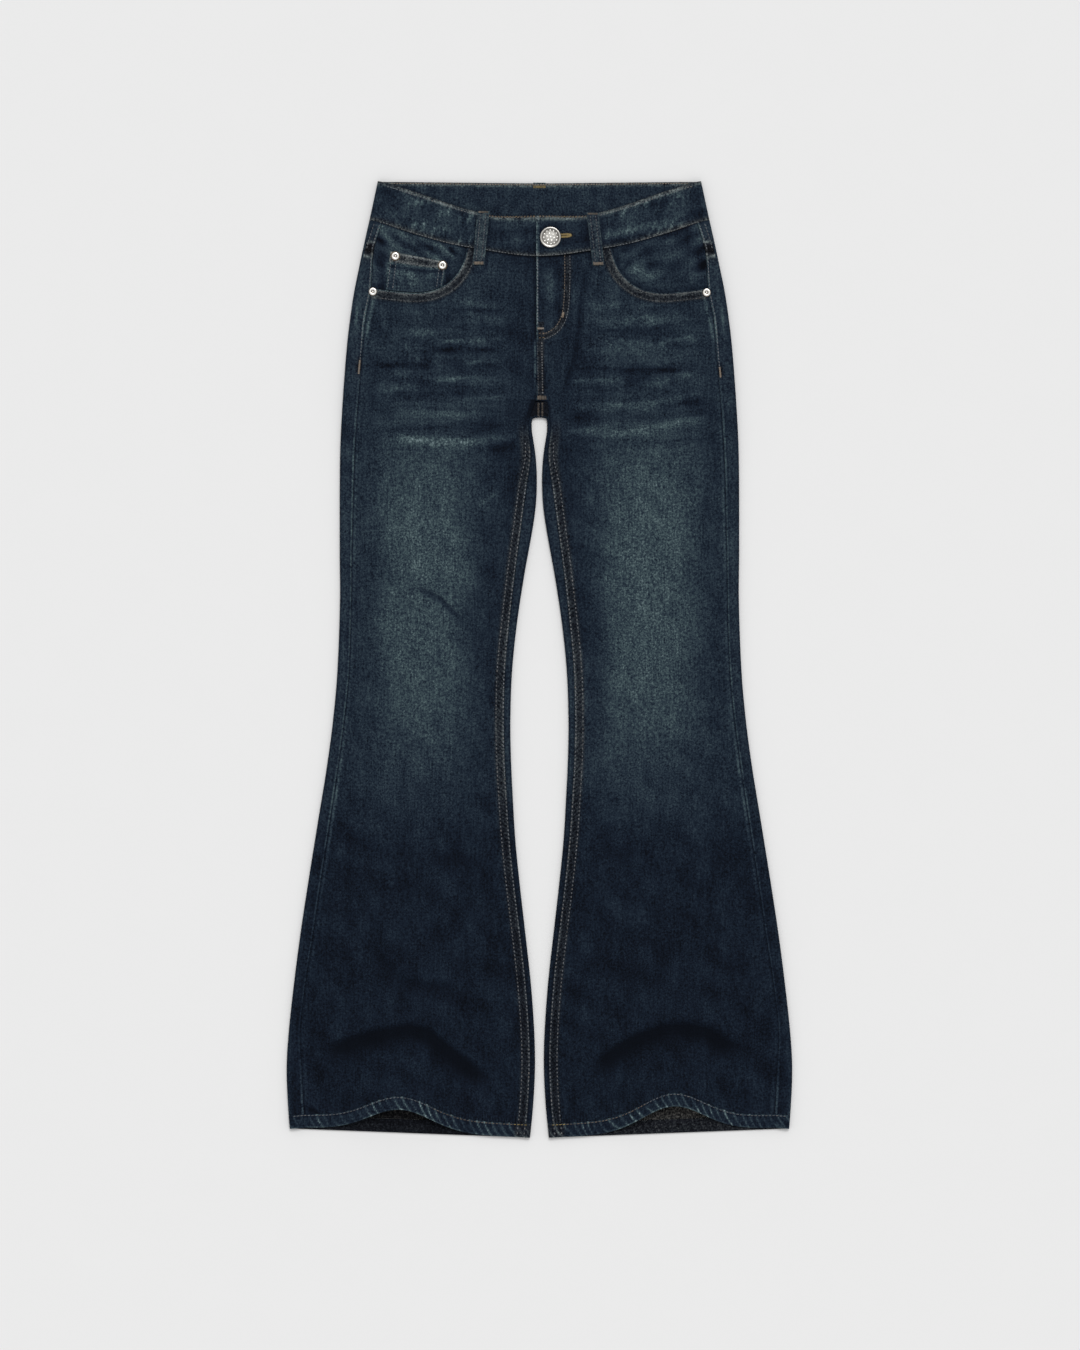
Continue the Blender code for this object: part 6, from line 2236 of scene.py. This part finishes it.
@dataclass
class Hem:
    """The turned-up hem, a ring round the leg's mouth, roped where it has been washed."""

    half: Half
    front: FrontPanel
    wall: float = 2.0
    proud: float = 0.5
    rope_pitch: float = 9.0
    rope_height: float = 0.55

    def __post_init__(self) -> None:
        """Works out the stations round the ring, as (kind, at)."""
        arc = np.linspace(90, -90, 11)
        runs = [("front", np.linspace(1, 0, 176)), ("inner_strip", np.array([0.5])), ("inner", arc)]
        runs += [("bottom", np.linspace(1, 0, 100)[1:-1]), ("side", arc[::-1]), ("strip", np.linspace(1, 0, 11)[1:-1])]
        self.kinds = np.concatenate([[kind] * len(at) for kind, at in runs])
        self.at = np.concatenate([at for _, at in runs])
        self.rows = split([0, 0.11, 0.8, 1], [2, 9, 3])
        self.radius = LAY.fold_radius + GAP

    def lying(self, kind: Array, at: Array, drop: Array) -> tuple[Array, Array, Array]:
        """Places round the ring.

        Args:
            kind: Which stretch of the ring.
            at: Where on the stretch.
            drop: The drop at the inseam.

        Returns:
            x, drop and the height of the outer face.
        """
        inner, inner_in = LAY.fold_foot(INNER_EDGE, drop, 1)
        outer, outer_in = LAY.fold_foot(SIDE_EDGE, drop - LAY.hem_slant(drop), -1)
        inner_seam = inner + inner_in * INNER_EDGE.read(drop, 2)[:, None]
        outer_seam = outer + outer_in * SIDE_EDGE.read(drop, 2)[:, None]
        outer_top, inner_top = outer + outer_in * self.radius, inner + inner_in * self.radius
        flat = between(inner_seam, outer_seam, at)
        flat = np.where((kind == "strip")[:, None], between(outer_seam, outer_top, 1 - at), flat)
        flat = np.where((kind == "inner_strip")[:, None], between(inner_seam, inner_top, at), flat)
        signed = self.half.value * flat[:, 0]
        height = LAY.top_height(signed, flat[:, 1]) + self.proud
        return flat[:, 0], flat[:, 1] - LAY.hem_rise(signed, flat[:, 1]), height

    def rope(self, run: Array, up: Array) -> Array:
        """How much each place stands on a rope ridge, from 0 to 1."""
        wander = 2.6 * unevenness(run, 0 * run, 60, 81 + self.half.value)
        lean = 0.9 * self.half.value * up * (1 - 0.025 * up)
        return (0.5 + 0.5 * np.cos(math.tau * (run + lean + wander) / self.rope_pitch)) ** 3

    def place(self, column: Array, row: Array, depth: Array) -> tuple[Array, Facts]:
        """Where each vertex of the slab goes, and what the finish reads there."""
        column = column % len(self.at)
        kind, at = self.kinds[column], self.at[column]
        up = HEM_DEPTH * self.rows[row]
        drop = LENGTH - up
        x, risen, height = self.lying(kind, at, drop)
        flat_on_top = np.stack([x, risen, height - depth * self.wall], axis=-1)
        inner, inner_in = LAY.fold_foot(INNER_EDGE, drop, 1)
        outer, outer_in = LAY.fold_foot(SIDE_EDGE, drop - LAY.hem_slant(drop), -1)
        points = flat_on_top
        for name, foot, inward in (("inner", inner, inner_in), ("side", outer, outer_in)):
            place = foot + inward * self.radius
            tall = LAY.top_height(self.half.value * place[:, 0], place[:, 1]) + self.proud
            angle = np.where(kind == name, at, 0)
            rounded = LAY.round_fold(foot, inward, angle, depth * self.wall, tall, self.radius)
            points = np.where((kind == name)[:, None], rounded, points)
        start, end = outer + outer_in * self.radius, inner + inner_in * self.radius
        bottom = between(start, end, np.where(kind == "bottom", at, 0))
        under = np.concatenate([bottom, (UNDER_LIFT + depth * self.wall)[:, None]], axis=-1)
        points = np.where((kind == "bottom")[:, None], under, points)
        ridge = self.rope(points[:, 0], up)
        on_top = np.isin(kind, ("front", "strip", "inner_strip"))
        window = smooth_step(-1.5, 2.5, up) * (1 - smooth_step(11, 14, up))
        bulge = self.rope_height * (ridge - 0.35) * window * (1 - depth)
        edge = softened(up, depth * 0, 0.7, 2.4) * np.where(depth > 0.5, -0.8, 1)
        edge = edge + softened(HEM_DEPTH - up, depth * 0, 0.4, 1.4) * (1 - depth)
        points[:, 2] += np.where(on_top, bulge - edge, 0) + np.where(kind == "bottom", edge * 0.5, 0)
        return world(points, self.half), self.facts(points[:, 0], points[:, 1], up, ridge, on_top, depth)

    def facts(self, x: Array, drop: Array, up: Array, ridge: Array, on_top: Array, depth: Array) -> Facts:
        """What the finish reads.

        Args:
            x: x of each place.
            drop: Its drop.
            up: Its distance from the hem's lower edge.
            ridge: How much it stands on a rope ridge.
            on_top: Whether it is on the upper layer.
            depth: 0 outside, 1 inside.

        Returns:
            The wear, light rims, shade and puckers.
        """
        patchy = 0.75 + 0.45 * unevenness(x, drop, 40, 83 + self.half.value)
        spell = np.clip(0.95 + 0.5 * unevenness(x, 0 * x, 17, 85 + self.half.value), 0.5, 1.4)
        line = 0.05 * ridge + 0.4 * ridge**2.8 * spell
        wear = FADING.tone(29) + (line + 0.05) * np.clip(patchy, 0.5, 1.3) * (1 - depth)
        lines = 0.12 * ridge * {Half.LEFT: 0.4, Half.RIGHT: 1.0}[self.half]
        inside = FADING.tone({Half.LEFT: 22, Half.RIGHT: 29}[self.half]) + np.where(on_top, 0, lines)
        return {
            "wear": np.where(depth > 0.5, inside, wear),
            "rim": np.clip((0.46 * peak(up / 1.3) + 0.2 * peak((up - 15.2) / 0.8)) * patchy * (1 - depth), 0, 1),
            "shade": 0.1 * (1 - ridge) * smooth_step(1, 3, up) * (1 - depth) + 0.25 * peak((up - 12.4) / 1.0),
            "drab": 0.6 * depth + 0.4 * (1 - depth) * (1 - smooth_step(26, 31, x)),
            "along": x,
            "across": up,
        }

    def surface(self, share: Array, up: Array) -> Array:
        """Points of the hem's outer face on top, by the share from inseam to side seam and the height up."""
        drop = LENGTH - up
        kind = np.where(share > 1, "strip", np.where(share < 0, "inner_strip", "front"))
        at = np.where(share > 1, 2 - share, np.where(share < 0, -share, share))
        x, risen, height = self.lying(kind, at, drop)
        ridge = self.rope(x, up)
        height = height + self.rope_height * (ridge - 0.35) * (1 - smooth_step(11, 14, up))
        return world(np.stack([x, risen, height], axis=-1), self.half)

    def under_surface(self, x: Array, drop: Array) -> Array:
        """Points of the hem's underside."""
        return world(np.stack([x, drop, np.full(np.shape(x), UNDER_LIFT)], axis=-1), self.half)

    def build(self) -> None:
        """Builds and dresses the hem."""
        piece = bend_slab(f"denim_hem_{self.half.word}", len(self.at), len(self.rows) - 1, self.place, ring=True)
        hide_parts(f"hem_{self.half.word}")
        top = Needle(f"thread_hem_{self.half.word}", self.surface)
        for start, end, thread in ((-0.4, 0.06, Thread.STRAW), (0.06, 0.42, Thread.TAN), (0.42, 1.9, Thread.GREY)):
            run = places(np.linspace(start, end, 60), 13.9)
            top.sew(run, thread=thread, age=0.25 if thread is Thread.STRAW else 0.0, pitch=4.0, length=3.1)
        for inset in (1.5, 9.3):
            run = [(inset / 248, up) for up in (12.6, 7, 1.5)]
            top.sew(run, thread=Thread.GREY, age=0.1, pitch=4.4, length=2.4, radius=0.75)
        under = Needle(f"thread_hem_under_{self.half.word}", self.under_surface, Layer.LOWER)
        run = [(x, LENGTH - 13.9 - 10 * (x - 14) / 258) for x in (14, 272)]
        under.sew(run, thread=Thread.TAN, age=0.4)
        top.build()
        under.build()


# Metalwork


def turned(profile: Any, centre: tuple[float, float, float], steps: int) -> bmesh.types.BMesh:
    """A round shape: its profile spun about its axis.

    Args:
        profile: (radius, height) from the middle of the foot round the rim to the middle of the face.
        centre: Where its foot stands, as signed x, drop and height.
        steps: Faces round.

    Returns:
        The shape, in the scene's place.
    """
    shape = bmesh.new()
    points = [shape.verts.new((radius * MM, 0, height * MM)) for radius, height in profile]
    for a, b in zip(points, points[1:]):
        shape.edges.new((a, b))
    geometry = shape.verts[:] + shape.edges[:]
    bmesh.ops.spin(
        shape, geom=geometry, cent=(0, 0, 0), axis=(0, 0, 1), angle=math.tau, steps=steps, use_merge=True
    )
    bmesh.ops.remove_doubles(shape, verts=shape.verts, dist=0.005 * MM)
    bmesh.ops.recalc_face_normals(shape, faces=shape.faces[:])
    x, drop, height = centre
    bmesh.ops.translate(shape, vec=Vector((x, LENGTH / 2 - drop, height)) * MM, verts=shape.verts)
    return shape


@dataclass
class Rivet:
    """A bright domed rivet with a small pin in its middle."""

    node: str
    x: float
    drop: float
    height: float
    profile: tuple[tuple[float, float], ...] = (
        (0, 0),
        (4.2, 0),
        (4.6, 0.25),
        (4.7, 0.6),
        (4.4, 0.95),
        (3.7, 1.18),
        (2.8, 1.22),
        (1.9, 1.08),
        (1.45, 0.8),
        (1.2, 0.78),
        (1.0, 1.05),
        (0.8, 1.3),
        (0.45, 1.42),
        (0, 1.45),
    )

    def build(self) -> None:
        """Builds and dresses the rivet."""
        shape = turned(self.profile, (self.x, self.drop, self.height), 40)
        finish = MetalFinish(
            f"rivet_metal_{self.node}", (238, 236, 230), (92, 76, 60), self.height + 0.96, self.height + 1.16, 0.3
        )
        piece = add_piece(f"metal_{self.node}", shape, finish)
        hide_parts(self.node)


@dataclass
class Button:
    """The waist button: a rim round a field of low dots."""

    x: float = 12.4
    drop: float = 64.2
    band: Waistband = field(default_factory=Waistband)
    profile: tuple[tuple[float, float], ...] = (
        (0, 0),
        (4.5, 0),
        (5.0, 0.9),
        (11.0, 1.0),
        (11.8, 1.35),
        (12.0, 1.9),
        (11.8, 2.5),
        (11.2, 2.85),
        (10.5, 2.9),
        (9.9, 2.7),
        (9.4, 2.55),
        (6.5, 2.75),
        (3.0, 2.9),
        (0, 2.92),
    )
    rings: tuple[tuple[int, float, float], ...] = ((1, 0.0, 1.5), (6, 4.0, 1.45), (12, 7.6, 1.2))

    def build(self) -> None:
        """Builds and dresses the button."""
        foot = float(self.band.front_height(np.array([self.x]), True)[0]) + GAP
        shape = turned(self.profile, (self.x, self.drop, foot), 72)
        for count, ring_radius, dot_radius in self.rings:
            for step in range(count):
                turn = math.tau * (step + 0.5 * (count == 12)) / count + math.radians(12)
                made = bmesh.ops.create_uvsphere(shape, u_segments=12, v_segments=8, radius=dot_radius * MM)["verts"]
                bmesh.ops.scale(shape, vec=(1, 1, 0.42), verts=made)
                x, drop = self.x + ring_radius * math.cos(turn), self.drop + ring_radius * math.sin(turn)
                place = Vector((x, LENGTH / 2 - drop, foot + 2.84 - 0.012 * ring_radius**1.5)) * MM
                bmesh.ops.translate(shape, vec=place, verts=made)
        finish = MetalFinish("button_metal", (226, 224, 218), (118, 115, 110), foot + 2.6, foot + 3.05, 0.3)
        piece = add_piece("metal_waist_button", shape, finish)
        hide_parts("button")


# The picture


@dataclass
class Studio:
    """A pale floor, soft light, and a camera that looks straight down."""

    mm_per_pixel: float = 1.1291
    image_height: int = 1350
    lens: float = 180.0
    aim: tuple[float, float] = (0.0006, -0.0178)
    floor_size: float = 12.0
    sky: float = 0.72
    sun: float = 1.25
    sun_tilt: tuple[float, float] = (-30.0, 8.0)
    sun_angle: float = 24.0

    def build(self) -> None:
        """Builds the floor, the lights and the camera."""
        shape = bmesh.new()
        bmesh.ops.create_grid(shape, x_segments=1, y_segments=1, size=self.floor_size / 2)
        bmesh.ops.translate(shape, vec=(0, 0, -0.02 * MM), verts=shape.verts)
        mesh = bpy.data.meshes.new("floor")
        shape.to_mesh(mesh)
        shape.free()
        mesh.materials.append(WARDROBE.get(FloorFinish()))
        floor = bpy.data.objects.new("floor", mesh)
        bpy.context.scene.collection.objects.link(floor)
        self.light()
        self.look()

    def light(self) -> None:
        """A pale sky and a broad, soft lamp from beyond the waistband."""
        sky = bpy.data.worlds.new("studio")
        sky.use_nodes = True
        background = sky.node_tree.nodes["Background"]
        background.inputs["Color"].default_value = (1, 1, 1, 1)
        background.inputs["Strength"].default_value = self.sky
        bpy.context.scene.world = sky
        lamp = bpy.data.lights.new("broad_lamp", "SUN")
        lamp.energy = self.sun
        lamp.angle = math.radians(self.sun_angle)
        sun = bpy.data.objects.new("broad_lamp", lamp)
        sun.rotation_euler = tuple(math.radians(turn) for turn in (*self.sun_tilt, 0))
        bpy.context.scene.collection.objects.link(sun)

    def look(self) -> None:
        """The camera, straight above, with a long lens."""
        lens = bpy.data.cameras.new("camera")
        lens.lens = self.lens
        lens.sensor_width = 36.0
        seen = self.image_height * self.mm_per_pixel * MM
        camera = bpy.data.objects.new("camera", lens)
        camera.location = (*self.aim, seen * self.lens / lens.sensor_width)
        lens.clip_end = 100.0
        bpy.context.scene.collection.objects.link(camera)
        bpy.context.scene.camera = camera
        view = bpy.context.scene.view_settings
        view.view_transform = "Standard"
        view.look = "None"


def build_metalwork(facing: PocketFacing, coin: CoinPocket, band: Waistband) -> None:
    """Builds the rivets and the button on the cloth that carries them.

    Args:
        facing: The facing that the coin pocket is on. It is not used.
        coin: The coin pocket.
        band: The waistband.
    """
    lift = FrontPanel.pocket_lift + GAP
    for node, x, drop in (("rivet_pocket_left", -188.0, 125.3), ("rivet_pocket_right", 188.6, 126.3)):
        height = float(LAY.top_height(np.array([x]), np.array([drop]))[0])
        Rivet(node, x, drop, height + lift).build()
    for node, x, drop in (("rivet_coin_outer", -162.6, 85.3), ("rivet_coin_inner", -109.4, 95.6)):
        height = float(coin.height(np.array([-x]), np.array([drop]))[0])
        Rivet(node, x, drop, height + 0.35 + GAP).build()
    Button(band=band).build()


def main() -> None:
    """Builds the garment piece by piece, then the picture round it."""
    logging.basicConfig(level=logging.INFO, format="%(message)s")
    band = Waistband()
    for half in Half:
        front = FrontPanel(half)
        front.build()
        BackPanel(half).build()
        Yoke(half).build()
        facing = PocketFacing(half)
        facing.build()
        if half is Half.LEFT:
            left_facing, coin = facing, CoinPocket(facing)
            coin.build()
        BackPocket(half).build()
        Hem(half, front).build()
    band.build()
    BeltLoop("belt_loop_front_left", (-63.1, 34.5), (-68.9, 95.0), band).build()
    BeltLoop("belt_loop_front_right", (59.8, 36.5), (66.6, 95.6), band).build()
    for name, x in (("belt_loop_back", 0.0), ("belt_loop_side_left", -128.0), ("belt_loop_side_right", 128.0)):
        BackLoop(name, x).build()
    build_metalwork(left_facing, coin, band)
    Studio().build()


if __name__ == "__main__":
    main()
